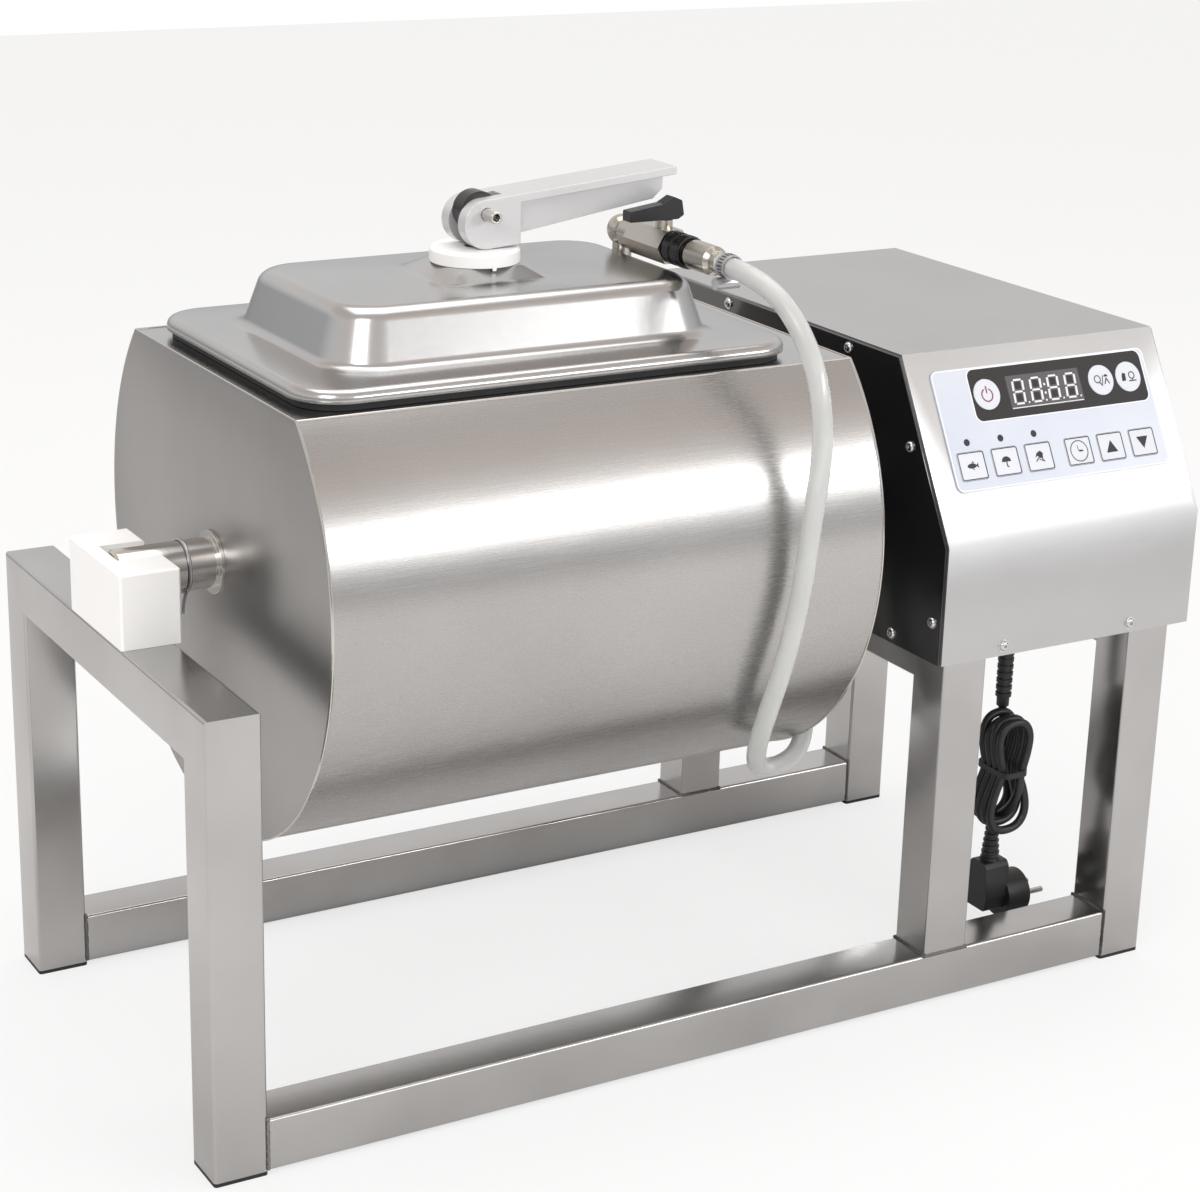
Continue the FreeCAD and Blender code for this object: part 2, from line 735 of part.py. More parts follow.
def lid_gasket():
    """The black rubber ring under the rim."""
    height = d.gasket_height + d.lid_rim - d.lid_sheet - d.running_gap * 2
    length = lid_length - d.gasket_inset * 2
    width = d.lid_width - d.gasket_inset * 2
    start = flat_z + d.running_gap
    corner = d.lid_corner - d.gasket_inset
    outer = rounded_plate("gasket_outer", length, width, corner, height, lid_x, 0, start)
    edge_fillet(outer, d.lid_roll - d.lid_sheet, lambda e: lies_at(e, "Z", height))
    inner = rounded_plate("gasket_inner", length - d.gasket_width * 2,
                          width - d.gasket_width * 2, corner - d.gasket_width, height * 3,
                          lid_x, 0, start - height)
    return cut("lid_gasket", outer, inner)


def thrust_puck():
    """The white disc that the cam presses on."""
    body = new_body("thrust_puck", lid_x, 0, puck_z)
    half = new_sketch(body, "XZ_Plane")
    bore = d.stud_radius + 0.6
    edge = 2
    outline(half, [(bore, 0), (d.puck_radius, 0), (d.puck_radius, d.puck_height - edge),
                   (d.puck_radius - edge, d.puck_height), (bore, d.puck_height)])
    revolve(body, half, "Z_Axis")
    return body


def clamp_stud():
    """The tie rod with its flat eye for the lever's pin."""
    bottom = flat_z - d.drum_wall - d.small_gap - d.bar_height - 3
    rod = cylinder("stud_rod", d.stud_radius, pin_z - d.eye_radius / 2 - bottom,
                   lid_x, 0, bottom)
    eye = cylinder("stud_eye", d.eye_radius, d.eye_thickness, lid_x, -d.eye_thickness / 2,
                   pin_z, "Y")
    hole = cylinder("stud_pin_hole", d.pin_radius + d.running_gap, d.eye_thickness * 2, lid_x,
                    -d.eye_thickness, pin_z, "Y")
    return cut("clamp_stud", fuse("stud_blank", rod, eye), hole)


def clamp_bar():
    """The cross bar that grips under the mouth's long edges."""
    top = flat_z - d.drum_wall - d.small_gap
    body = new_body("bar_body", lid_x, 0, top)
    side = new_sketch(body, "YZ_Plane")
    half = d.mouth_width / 2 + d.bar_grip
    thin = d.bar_height / 2
    outline(side, [(-half, 0), (half, 0), (half, -thin), (half / 3, -d.bar_height),
                   (-half / 3, -d.bar_height), (-half, -thin)])
    pad(body, side, d.bar_width, both=True)
    edge_fillet(body, d.bar_width / 4, lambda e: runs_along(e, "Z"))
    hole = cylinder("bar_hole", d.stud_radius + d.running_gap, d.bar_height * 3, lid_x, 0,
                    top - d.bar_height * 2)
    return cut("clamp_bar", body, hole)


def cam_lever():
    """The cast lever: two cam ears, a wide top flange and a hollow grip."""
    body = new_body("cam_lever", lid_x, 0, pin_z)
    top = d.cam_radius - d.cam_offset
    slope = d.lever_rise / (d.lever_reach + d.cam_radius)
    bottom = -(d.cam_radius + d.cam_offset)
    ear = d.ear_length
    tip = d.lever_reach - 6
    side = new_sketch(body, "XZ_Plane")
    outline(side, [(0, top), (ear, top + slope * ear), (ear, bottom + 2), (0, bottom)])
    pad(body, side, d.lever_width, both=True)
    cam = new_sketch(body, "XZ_Plane")
    circle(cam, 0, -d.cam_offset, d.cam_radius)
    pad(body, cam, d.lever_width, both=True)
    flange = new_sketch(body, "XZ_Plane")
    end = top + slope * d.lever_reach
    outline(flange, [(ear, top + slope * ear), (d.lever_reach, end),
                     (d.lever_reach, end - d.lever_flange),
                     (ear, top + slope * ear - d.lever_flange)])
    pad(body, flange, d.lever_width, both=True)
    web = new_sketch(body, "XZ_Plane")
    outline(web, [(ear, top + slope * ear - 1), (tip, top + slope * tip - 1),
                  (tip, slope * tip - 7), (tip - 8, slope * tip - 14), (ear, bottom + 7.5)])
    pad(body, web, d.lever_web, both=True)
    fork = new_sketch(body, "XZ_Plane")
    reach = d.eye_radius + 3
    outline(fork, [(-d.cam_radius - 1, top + 4), (reach, top + 4), (reach, bottom - 1),
                   (-d.cam_radius - 1, bottom - 1)])
    pocket(body, fork, d.lever_slot, both=True)
    hole = new_sketch(body, "XZ_Plane")
    circle(hole, 0, 0, d.pin_radius + d.running_gap)
    pocket(body, hole, both=True)
    return body


def lever_pin():
    """The pivot pin, bored at its front end."""
    length = d.lever_width + d.pin_front + d.pin_back
    front = -(d.lever_width / 2 + d.pin_front)
    pin = cylinder("pin_rod", d.pin_radius, length, lid_x, front, pin_z, "Y")
    bore = cylinder("pin_bore_tool", d.pin_bore, d.pin_front, lid_x, front, pin_z, "Y")
    return cut("lever_pin", pin, bore)


# ----------------------------------------------- vacuum valve and coupling

valve_z = dome_z + d.valve_lift
union_back = d.nipple_place - d.elbow_radius
hex_back = union_back - d.union_length
hex_front = hex_back - d.hex_length
stem_y = hex_back - d.stem_place
coupler_front = hex_front - d.coupler_length
tail_front = coupler_front - d.tail_length


def hex_bar(name, flats, length, y):
    """A hexagonal bar along Y from a front face back."""
    item = doc.addObject("Part::Prism", name)
    item.Polygon = 6
    bind(item, Circumradius=flats / math.sqrt(3), Height=length)
    return place(item, valve_x, y, valve_z, ALONG["Y"])


def rod_y(name, radius, length, y):
    return cylinder(name, radius, length, valve_x, y, valve_z, "Y")


def vacuum_elbow():
    """The nipple up from the lid and its elbow towards the valve."""
    start = lid_z - d.lid_sheet * 2
    nipple = cylinder("elbow_nipple", d.nipple_radius, valve_z - start, valve_x,
                      d.nipple_place, start)
    ball = doc.addObject("Part::Sphere", "elbow_ball")
    bind(ball, Radius=d.elbow_radius)
    place(ball, valve_x, d.nipple_place, valve_z)
    arm = rod_y("elbow_arm", d.nipple_radius, d.elbow_radius, union_back)
    bore = cylinder("elbow_bore", d.valve_bore, valve_z - start + 2, valve_x, d.nipple_place,
                    start - 1)
    return cut("vacuum_elbow", fuse("elbow_blank", nipple, ball, arm), bore)


def valve_body():
    """The ball valve's hexagonal body with its round union at the back."""
    union = rod_y("valve_union", d.union_radius, d.union_length, hex_back)
    barrel = hex_bar("valve_hex", d.hex_flats, d.hex_length, hex_front)
    gland = cylinder("valve_gland", d.stem_radius + 3, d.hex_flats / 2 + 6, valve_x, stem_y,
                     valve_z)
    way = rod_y("valve_way", d.valve_bore, d.hex_length + d.union_length + 2, hex_front - 1)
    seat = doc.addObject("Part::Sphere", "valve_seat")
    bind(seat, Radius=d.ball_radius + d.small_gap)
    place(seat, valve_x, stem_y, valve_z)
    stem_hole = cylinder("valve_stem_hole", d.stem_radius + d.running_gap, d.hex_flats,
                         valve_x, stem_y, valve_z)
    return cut("valve_body", fuse("valve_blank", union, barrel, gland), way, seat, stem_hole)


def valve_ball():
    """The drilled ball and its stem, across the flow when shut."""
    ball = doc.addObject("Part::Sphere", "ball_round")
    bind(ball, Radius=d.ball_radius)
    place(ball, valve_x, stem_y, valve_z)
    stem = cylinder("ball_stem", d.stem_radius, d.hex_flats / 2 + 11, valve_x, stem_y, valve_z)
    way = cylinder("ball_way", d.valve_bore, d.ball_radius * 2 + 2, valve_x - d.ball_radius - 1,
                   stem_y, valve_z, "X")
    return cut("valve_ball", fuse("ball_blank", ball, stem), way)


def valve_handle():
    """The small black lever on the valve's stem, with a thumb fin."""
    start = valve_z + d.hex_flats / 2 + 6 + d.small_gap
    body = new_body("valve_handle_body", valve_x, stem_y, start)
    side = new_sketch(body, "XZ_Plane")
    arm = -d.handle_arm
    fin = d.handle_fin
    outline(side, [(arm, 0), (fin - 5, 0), (fin, 3), (fin - 2, 14), (fin - 9, 17),
                   (fin - 18, 12), (arm, 8)])
    pad(body, side, d.handle_width, both=True)
    edge_fillet(body, 1.2, lambda e: runs_along(e, "Y"))
    hole = cylinder("handle_hole", d.stem_radius + d.running_gap, 8 + d.small_gap, valve_x,
                    stem_y, start - 1)
    return cut("valve_handle", body, hole)


def coupler_body():
    """The hose coupling: a nose in the valve, a shoulder and a hose tail."""
    body = new_body("coupler_body", valve_x, hex_front, valve_z)
    half = new_sketch(body, "YZ_Plane")
    slim = d.coupler_radius - 2.5
    shoulder = d.collar_length + d.sleeve_travel + 2
    length = d.coupler_length
    end = length + d.tail_length
    outline(half, [(0, 0), (0, slim), (-shoulder, slim), (-shoulder, d.coupler_radius),
                   (3 - length, d.coupler_radius), (-length, d.coupler_radius - 3),
                   (-length, d.tail_radius), (-end, d.tail_radius), (-end, 0)])
    revolve(body, half, "Y_Axis")
    return body


def coupler_sleeve():
    """The sliding collar that frees the coupling when it is drawn back."""
    start = hex_front - d.collar_length - 1
    collar = rod_y("sleeve_blank", d.collar_radius, d.collar_length, start)
    bore = rod_y("sleeve_bore", d.coupler_radius - 2.5 + d.running_gap, d.collar_length + 2,
                 start - 1)
    groove = rod_y("sleeve_groove", d.collar_radius + 1, 2.5, start + d.collar_length / 2)
    core = rod_y("sleeve_core", d.collar_radius - 1.2, 3, start + d.collar_length / 2)
    return cut("coupler_sleeve", collar, bore, cut("sleeve_ring", groove, core))


def hose_clamp():
    """The worm clamp round the hose's end, with its screw housing."""
    start = tail_front - d.clamp_length * 1.5
    bore_radius = d.hose_radius + d.small_gap
    band = rod_y("clamp_band", d.clamp_radius, d.clamp_length, start)
    housing = cylinder("clamp_screw", 4.5, 20, valve_x - 12, start + d.clamp_length / 2,
                       valve_z - d.clamp_radius - 3, "X")
    saddle = box("clamp_saddle", 10, d.clamp_length - 2, 6, valve_x - 5, start + 1,
                 valve_z - d.clamp_radius - 4)
    bore = rod_y("clamp_bore", bore_radius, d.clamp_length + 2, start - 1)
    return cut("hose_clamp", fuse("clamp_blank", band, housing, saddle), bore)


HOSE_ROUTE = [
    (25, -150, 591), (35, -185, 572), (46, -207, 530), (46, -219, 480), (38, -221, 430),
    (33, -221, 380), (27, -216, 330), (25, -200, 285), (32, -172, 238), (52, -142, 205),
    (85, -125, 193), (115, -112, 198), (131, -92, 225), (134, -66, 262),
]


def port_direction():
    return -cosine(d.port_angle), -sine(d.port_angle)


def port_tip():
    """Where the elbow on the drive box ends, facing away from the shaft."""
    across, down = port_direction()
    reach = d.port_radius + d.port_outlet + d.small_gap
    return across * reach, axis_z + down * reach


def vacuum_hose():
    """The clear hose from the lid's coupling to the port beside the drum."""
    start = Vector(valve_x.value, tail_front.value, valve_z.value)
    tip_y, tip_z = port_tip()
    end = Vector((box_left - d.port_reach).value, tip_y.value, tip_z.value)
    points = [start] + [Vector(*point) for point in HOSE_ROUTE] + [end]
    return cord_tube("vacuum_hose", points, d.hose_radius.value)


def cord_path(points):
    """Straight runs joined by tangent arcs as large as the runs allow."""
    edges = []
    last = points[0]
    radii = []
    for before, corner, after in zip(points, points[1:], points[2:]):
        inward = (before - corner).normalize()
        outward = (after - corner).normalize()
        half_turn = (math.pi - inward.getAngle(outward)) / 2
        trim = 0.45 * min((before - corner).Length, (after - corner).Length)
        radius = trim / math.tan(half_turn)
        radii.append(round(radius, 1))
        enter = corner + inward * trim
        leave = corner + outward * trim
        middle = (inward + outward).normalize()
        centre = corner + middle * (radius / math.cos(half_turn))
        via = centre - middle * radius
        edges.append(Part.LineSegment(last, enter).toShape())
        edges.append(Part.Arc(enter, via, leave).toShape())
        last = leave
    edges.append(Part.LineSegment(last, points[-1]).toShape())
    return Part.Wire(edges), radii


def cord_tube(name, points, radius):
    """A round tube along a route, checked against its section and length."""
    path, radii = cord_path(points)
    ring = Part.Wire([Part.Circle(points[0], points[1] - points[0], radius).toShape()])
    solid = path.makePipeShell([ring], True, False)
    item = doc.addObject("Part::Feature", name)
    item.Shape = solid
    expected = math.pi * radius ** 2 * path.Length
    print(name, "length", round(path.Length, 1), "radii", radii,
          "volume ratio", round(solid.Volume / expected, 4))
    return item


def make_lid():
    lid_pan()
    lid_gasket()
    thrust_puck()
    clamp_stud()
    clamp_bar()
    cam_lever()
    lever_pin()
    vacuum_elbow()
    valve_body()
    valve_ball()
    valve_handle()
    coupler_body()
    coupler_sleeve()
    hose_clamp()
    vacuum_hose()


# -------------------------------------------------------------- drive box

def box_profile(inset):
    """The drive box seen from its side, shrunk by an inset."""
    lean = inset / 2
    return [(d.box_back - inset, d.box_bottom), (d.box_back - inset, d.box_top - inset),
            (-(d.slope_top - lean), d.box_top - inset),
            (-(d.box_front - inset), d.slope_bottom - lean),
            (-(d.box_front - inset), d.box_bottom)]


def box_prism(name, inset, length, x):
    body = new_body(name, x)
    side = new_sketch(body, "YZ_Plane")
    outline(side, box_profile(sized(inset)))
    pad(body, side, length)
    return body


def plate_screw_spots():
    """Places of the round-head screws round each side plate, as Y and Z."""
    edge = d.screw_inset
    top = d.box_top - edge
    low = d.box_bottom + edge
    return [(-d.slope_top / 2, top), (d.box_back / 2, top),
            (-(d.slope_top + slope_run / 2) + edge * 2, d.slope_bottom + slope_rise / 2),
            (-d.box_front + edge * 1.5, d.box_bottom + edge * 4),
            (-d.slope_top - edge * 1.5, low), (d.box_back / 8, low), (d.box_back - edge * 6, low),
            (d.box_back - edge, d.slope_bottom - edge * 4), (d.box_back - edge, top - edge * 5)]


def front_screw_spots():
    """Places of the screws in the lower edge of the front, as X."""
    gap = outer_leg_x - inner_leg_x - d.tube
    first = inner_leg_x + d.tube
    return [first + gap * 0.09, first + gap * 0.97]


def round_screw(name, x, y, z, along, outwards):
    """A dome-head screw whose head sits on a face that looks outwards."""
    turn = {("X", -1): Rotation(Vector(0, 1, 0), -90), ("X", 1): Rotation(Vector(0, 1, 0), 90),
            ("Y", -1): Rotation(Vector(1, 0, 0), 90), ("Y", 1): Rotation(Vector(1, 0, 0), -90)}
    body = new_body(name, x, y, z, turn[(along, outwards)])
    half = new_sketch(body, "XZ_Plane")
    crown = d.screw_crown
    outline(half, [(0, -d.screw_length), (d.screw_core, -d.screw_length), (d.screw_core, 0),
                   (d.screw_head, 0), (d.screw_head, crown / 3), (d.screw_head * 0.7, crown * 0.8),
                   (d.screw_head * 0.3, crown), (0, crown)])
    revolve(body, half, "Z_Axis")
    return body


def make_screws():
    """All the housing's screws, and the drills that clear their shanks."""
    screws = []
    drills = []
    core = d.screw_core + d.running_gap
    deep = d.screw_length + 2
    for y, z in plate_screw_spots():
        number = len(screws)
        screws.append(round_screw("screw_%d" % number, box_left, y, z, "X", -1))
        drills.append(cylinder("drill_%d" % number, core, deep, box_left - 1, y, z, "X"))
        screws.append(round_screw("screw_%d" % (number + 1), box_right, y, z, "X", 1))
        drills.append(cylinder("drill_%d" % (number + 1), core, deep, box_right + 1 - deep, y, z,
                               "X"))
    level = d.box_bottom + d.screw_inset
    for x in front_screw_spots():
        number = len(screws)
        screws.append(round_screw("screw_%d" % number, x, -d.box_front, level, "Y", -1))
        drills.append(cylinder("drill_%d" % number, core, deep, x, -d.box_front - 1, level, "Y"))
        screws.append(round_screw("screw_%d" % (number + 1), x, d.box_back, level, "Y", 1))
        drills.append(cylinder("drill_%d" % (number + 1), core, deep, x,
                               d.box_back + 1 - deep, level, "Y"))
    group("housing_screws", screws)
    return fuse("screw_drills", *drills)


def slope_turn():
    return angle_of(slope_rise, slope_run)


def on_slope(item):
    """Place a piece on the sloping front: x along it, y up it, z out of it."""
    angle = slope_turn()
    spot = (d.panel_x, -d.slope_top, d.box_top)
    place(item, *spot, Rotation(Vector(1, 0, 0), angle.value))
    item.setExpression("Placement.Rotation.Angle", angle.formula)
    return item


def housing_cover(drills):
    """The folded cover: top, slope, front and back, with flanges at its ends."""
    sheet_x = box_left + d.side_sheet
    length = d.box_length - d.side_sheet * 2
    outer = box_prism("cover_outer", 0, length, sheet_x)
    inner = box_prism("cover_inner", d.box_sheet, length - d.box_sheet * 2,
                      sheet_x + d.box_sheet)
    through = box_prism("cover_through", d.box_flange, length + 4, sheet_x - 2)
    under = box("cover_under", length, d.box_front + d.box_back, 4, sheet_x, -d.box_front,
                d.box_bottom - 2)
    opening = new_body("cover_opening")
    on_slope(opening)
    face = new_sketch(opening, "XY_Plane", -d.box_sheet * 4)
    rectangle(face, 0, -d.panel_place, d.panel_length - 12, d.panel_width - 10)
    pad(opening, face, d.box_sheet * 8)
    skirt = cut("cover_skirt", inner, under)
    return cut("housing_cover", outer, inner, through, opening, drills, skirt)


def side_plate(name, x, drills, hole):
    """A dark end plate on the cover's flanges."""
    body = box_prism(name + "_blank", d.side_inset, d.side_sheet, x)
    return cut(name, body, drills, *hole)


def base_tray(drills):
    """The floor of the drive box, on the cross rails, with folded lips."""
    start = box_left + d.side_sheet
    length = d.box_length - d.side_sheet * 2
    front = -(d.box_front - d.box_sheet - d.running_gap)
    back = d.box_back - d.box_sheet - d.running_gap
    sheet_z = d.tray_sheet
    end = d.box_sheet + d.running_gap
    floor = box("tray_floor", length - end * 2, back - front, sheet_z, start + end, front, tray_z)
    lip_x = inner_leg_x + d.tube + 2
    lip_length = outer_leg_x - inner_leg_x - d.tube - 4
    lips = [box("tray_lip_front", lip_length, sheet_z, d.tray_lip, lip_x, front,
                tray_z - d.tray_lip),
            box("tray_lip_back", lip_length, sheet_z, d.tray_lip, lip_x, back - sheet_z,
                tray_z - d.tray_lip)]
    side_front = front + d.box_flange + 2
    side_depth = back - front - (d.box_flange + 2) * 2
    for number, x in enumerate((start + d.running_gap,
                                start + length - sheet_z - d.running_gap)):
        lips.append(box("tray_side_%d" % number, sheet_z, side_depth, d.tray_lip + sheet_z, x,
                        side_front, tray_z - d.tray_lip))
    gland = cylinder("tray_gland_hole", d.gland_radius * 0.7 + d.running_gap, sheet_z * 3,
                     cord_x, -d.cord_y, tray_z - sheet_z)
    return cut("base_tray", fuse("tray_blank", floor, *lips), drills, gland)


def slope_plate(name, x, drop, length, width, thickness, corner, lift=0):
    """A rounded plate on the slope, its centre a drop below the upper bend."""
    body = new_body(name)
    on_slope(body)
    face = new_sketch(body, "XY_Plane", lift)
    rectangle(face, x, -drop, length, width)
    pad(body, face, thickness)
    edge_fillet(body, corner, lambda e: runs_along(e, "Z"))
    return body


def slope_disc(name, x, drop, radius, thickness, lift=0):
    body = new_body(name)
    on_slope(body)
    face = new_sketch(body, "XY_Plane", lift)
    circle(face, x, -drop, radius)
    pad(body, face, thickness)
    return body


def round_key_spots():
    """The power key and the two keys right of the display, as X."""
    left = -window_length / 2 + d.window_shift
    right = window_length / 2 + d.window_shift
    return {"power_key": left + d.power_key_inset, "mode_key": right - d.mode_key_inset,
            "light_key": right - d.light_key_inset}


def square_key_spots():
    """The lower row: three programme keys, the timer, up and down, as X."""
    first = d.key_start - d.panel_length / 2
    names = ["programme_key_1", "programme_key_2", "programme_key_3"]
    spots = {name: first + key_pitch * i for i, name in enumerate(names)}
    second = first + key_pitch * 3 + d.key_break
    for i, name in enumerate(["timer_key", "up_key", "down_key"]):
        spots[name] = second + key_pitch * i
    return spots


def make_panel():
    """The control panel: overlay, black window, nine keys and three lamps."""
    thick = d.panel_sheet
    cap = thick + d.key_proud
    tools = []
    for name, x in round_key_spots().items():
        slope_disc(name, x, d.window_place, d.round_key, cap)
        tools.append(slope_disc(name + "_hole", x, d.window_place, d.round_key + d.key_gap,
                                thick * 3, -thick))
    window = slope_plate("window_blank", d.window_shift, d.window_place, window_length,
                         d.window_width, thick, d.panel_corner)
    cut("display_window", window, *tools)
    tools = [slope_plate("window_hole", d.window_shift, d.window_place, window_length,
                         d.window_width, thick * 3, d.panel_corner, -thick)]
    for name, x in square_key_spots().items():
        slope_plate(name, x, d.key_row, d.square_key, d.square_key_width, cap, 2)
        tools.append(slope_plate(name + "_hole", x, d.key_row, d.square_key + d.key_gap * 2,
                                 d.square_key_width + d.key_gap * 2, thick * 3, 2.3, -thick))
    lamps = []
    for number in range(3):
        x = square_key_spots()["programme_key_%d" % (number + 1)]
        lamps.append(slope_disc("lamp_%d" % number, x, d.lamp_row, d.lamp_radius,
                                thick + d.board_depth, -d.board_depth))
        tools.append(slope_disc("lamp_hole_%d" % number, x, d.lamp_row,
                                d.lamp_radius + d.running_gap, thick * 3, -thick))
    group("indicator_lamps", lamps)
    blank = slope_plate("overlay_blank", 0, d.panel_place, d.panel_length, d.panel_width, thick,
                        d.panel_corner)
    cut("control_overlay", blank, *tools)
    control_board()


def control_board():
    """The circuit board behind the keys, with a switch under each."""
    thick = 1.6
    length = d.panel_length - 14
    width = d.panel_width - 12
    parts = [slope_plate("board_plate", 0, d.panel_place, length, width, thick, 1,
                         -(d.board_depth + thick))]
    travel = 0.9
    for name, x in round_key_spots().items():
        parts.append(slope_disc(name + "_switch", x, d.window_place, 3, d.board_depth - travel,
                                -d.board_depth))
    for name, x in square_key_spots().items():
        parts.append(slope_disc(name + "_switch", x, d.key_row, 3, d.board_depth - travel,
                                -d.board_depth))
    keys = square_key_spots()
    between = [keys["programme_key_1"] + key_pitch / 2, keys["up_key"] + key_pitch / 2]
    corners = [3 - length / 2, length / 2 - 3]
    for row, places in ((-1, corners), (1, between)):
        for number, x in enumerate(places):
            parts.append(slope_disc("board_post_%d_%d" % (row + 1, number), x,
                                    d.panel_place + row * (width / 2 - 3), 2, d.board_depth,
                                    -d.board_depth))
    return fuse("control_board", *parts)


def gear_motor():
    """The closed gearbox with its motor behind it."""
    start = box_left + 12
    size = d.gearbox_size
    case = box("gearbox_case", d.gearbox_length, size, size, start, -size / 2, axis_z - size / 2)
    case = rounded("gearbox_round", case, 6, lambda e: runs_along(e, "X"))
    boss = cylinder("gearbox_boss", 22, 6, start - 6, 0, axis_z, "X")
    can = cylinder("motor_can", d.motor_radius, d.motor_length, start + d.gearbox_length, 0,
                   axis_z, "X")
    cap = cylinder("motor_cap", d.motor_radius - 5, 8, start + d.gearbox_length + d.motor_length,
                   0, axis_z, "X")
    bore = cylinder("gearbox_bore", d.drive_shaft_radius + d.running_gap / 2, 33, start - 7, 0,
                    axis_z, "X")
    return cut("gear_motor", fuse("gear_motor_blank", case, boss, can, cap), bore)


def motor_bracket():
    """The angle bracket between the gearbox face and the tray."""
    start = box_left + 12 - d.bracket_sheet
    size = d.gearbox_size
    body = new_body("bracket_body", start, 0, tray_z + d.tray_sheet)
    front = new_sketch(body, "YZ_Plane")
    top = axis_z - tray_z - d.tray_sheet + size / 2
    rectangle(front, 0, top / 2, size + 12, top)
    pad(body, front, d.bracket_sheet)
    foot = new_sketch(body, "XY_Plane")
    rectangle(foot, d.gearbox_length / 2, 0, d.gearbox_length, size + 12)
    pad(body, foot, d.bracket_sheet)
    gusset = new_sketch(body, "XZ_Plane", size / 2 + 2)
    rib = axis_z - tray_z - d.tray_sheet - size / 4
    outline(gusset, [(0, 0), (d.gearbox_length, 0), (0, rib)])
    pad(body, gusset, d.bracket_sheet)
    other = new_sketch(body, "XZ_Plane", -(size / 2 + 2))
    outline(other, [(0, 0), (d.gearbox_length, 0), (0, rib)])
    pad(body, other, d.bracket_sheet, back=True)
    hole = cylinder("bracket_hole", 22 + d.small_gap, d.bracket_sheet * 3,
                    start - d.bracket_sheet, 0, axis_z, "X")
    port_y, port_z = port_spot()
    window = box("bracket_window", d.gearbox_length + 20, size, port_z - tray_z + 14, start - 4,
                 port_y + 12 - size, tray_z)
    return cut("motor_bracket", body, hole, window)


def port_spot():
    across, down = port_direction()
    return across * d.port_radius, axis_z + down * d.port_radius


def vacuum_port():
    """The elbow on the side plate that the hose's end is pushed on."""
    y, z = port_spot()
    reach = d.port_reach
    leg = cylinder("port_leg", d.port_body, reach + 16, box_left - reach, y, z, "X")
    nut = doc.addObject("Part::Prism", "port_nut")
    nut.Polygon = 6
    bind(nut, Circumradius=d.port_body * 1.6, Height=5)
    place(nut, box_left - 5, y, z, ALONG["X"])
    knee = doc.addObject("Part::Sphere", "port_knee")
    bind(knee, Radius=d.port_body)
    place(knee, box_left - reach, y, z)
    outlet = doc.addObject("Part::Cylinder", "port_outlet")
    bind(outlet, Radius=d.port_body * 0.8, Height=d.port_outlet)
    angle = 90 + d.port_angle
    place(outlet, box_left - reach, y, z, Rotation(Vector(1, 0, 0), angle.value))
    outlet.setExpression("Placement.Rotation.Angle", angle.formula)
    return fuse("vacuum_port", leg, nut, knee, outlet)


def vacuum_pump():
    """The diaphragm pump: a motor between two heads, on rubber feet."""
    y, z = port_spot()
    start = box_left + d.box_length / 3
    back = y + 4
    floor = tray_z + d.tray_sheet
    body = new_body("pump_body", start, back, floor)
    side = new_sketch(body, "XZ_Plane")
    high = d.pump_height
    outline(side, [(0, 4), (d.pump_length, 4), (d.pump_length, high - 12),
                   (d.pump_length - 12, high), (12, high), (0, high - 12)])
    pad(body, side, d.pump_depth)
    feet = []
    for number in range(4):
        foot_x = start + 12 + (number % 2) * (d.pump_length - 24)
        foot_y = back - 12 - (number // 2) * (d.pump_depth - 24)
        feet.append(cylinder("pump_foot_%d" % number, 6, 5, foot_x, foot_y, floor))
    barrel = cylinder("pump_barrel", 18, d.pump_depth + 6, start + d.pump_length / 2,
                      back - d.pump_depth - 12, floor + high - 16, "Y")
    spout = cylinder("pump_spout", 5, 20, start - 14, y, z, "X")
    return fuse("vacuum_pump", body, barrel, spout, *feet)


def air_tube():
    """The short hose between the port and the pump."""
    y, z = port_spot()
    start = box_left + 16
    length = d.box_length / 3 - 16 - 14
    return cylinder("air_tube", d.port_body, length, start, y, z, "X")


def drum_side_holes():
    """The holes in the left plate for the drive shaft and the port."""
    y, z = port_spot()
    shaft = cylinder("side_shaft_hole", d.drive_shaft_radius + 3, 8, box_left - 2, 0, axis_z, "X")
    port = cylinder("side_port_hole", d.port_body + d.running_gap, 8, box_left - 2, y, z, "X")
    return [shaft, port]


# ---------------------------------------------------------- mains lead

def cord_gland():
    """The gland under the tray with its tapered, slotted strain relief."""
    body = new_body("cord_gland", cord_x, -d.cord_y, tray_z)
    half = new_sketch(body, "XZ_Plane")
    tip = -(d.gland_length + d.relief_length)
    slim = d.cord_radius + 1.6
    outline(half, [(0, 6), (d.gland_radius * 0.7, 6), (d.gland_radius * 0.7, 0),
                   (d.gland_radius, 0), (d.gland_radius, -d.gland_length / 2),
                   (d.gland_radius * 0.8, -d.gland_length), (d.cord_radius + 3, -d.gland_length),
                   (slim, tip), (0, tip)])
    revolve(body, half, "Z_Axis")
    return body


PLUG_RIBS = 6
plug_x = cord_x - 1
relief_tip = tray_z - d.gland_length - d.relief_length


def power_cord():
    """The two free stretches: gland to hank, and hank to plug."""
    lead = cylinder("cord_lead", d.cord_radius, d.hank_drop, cord_x, -d.cord_y,
                    relief_tip - d.hank_drop)
    neck_top = d.plug_top + d.plug_rib * PLUG_RIBS
    bottom = relief_tip - d.hank_drop - d.hank_length
    tail = cylinder("cord_tail", d.cord_radius, bottom - neck_top, plug_x, -d.cord_y, neck_top)
    return group("power_cord", [lead, tail])


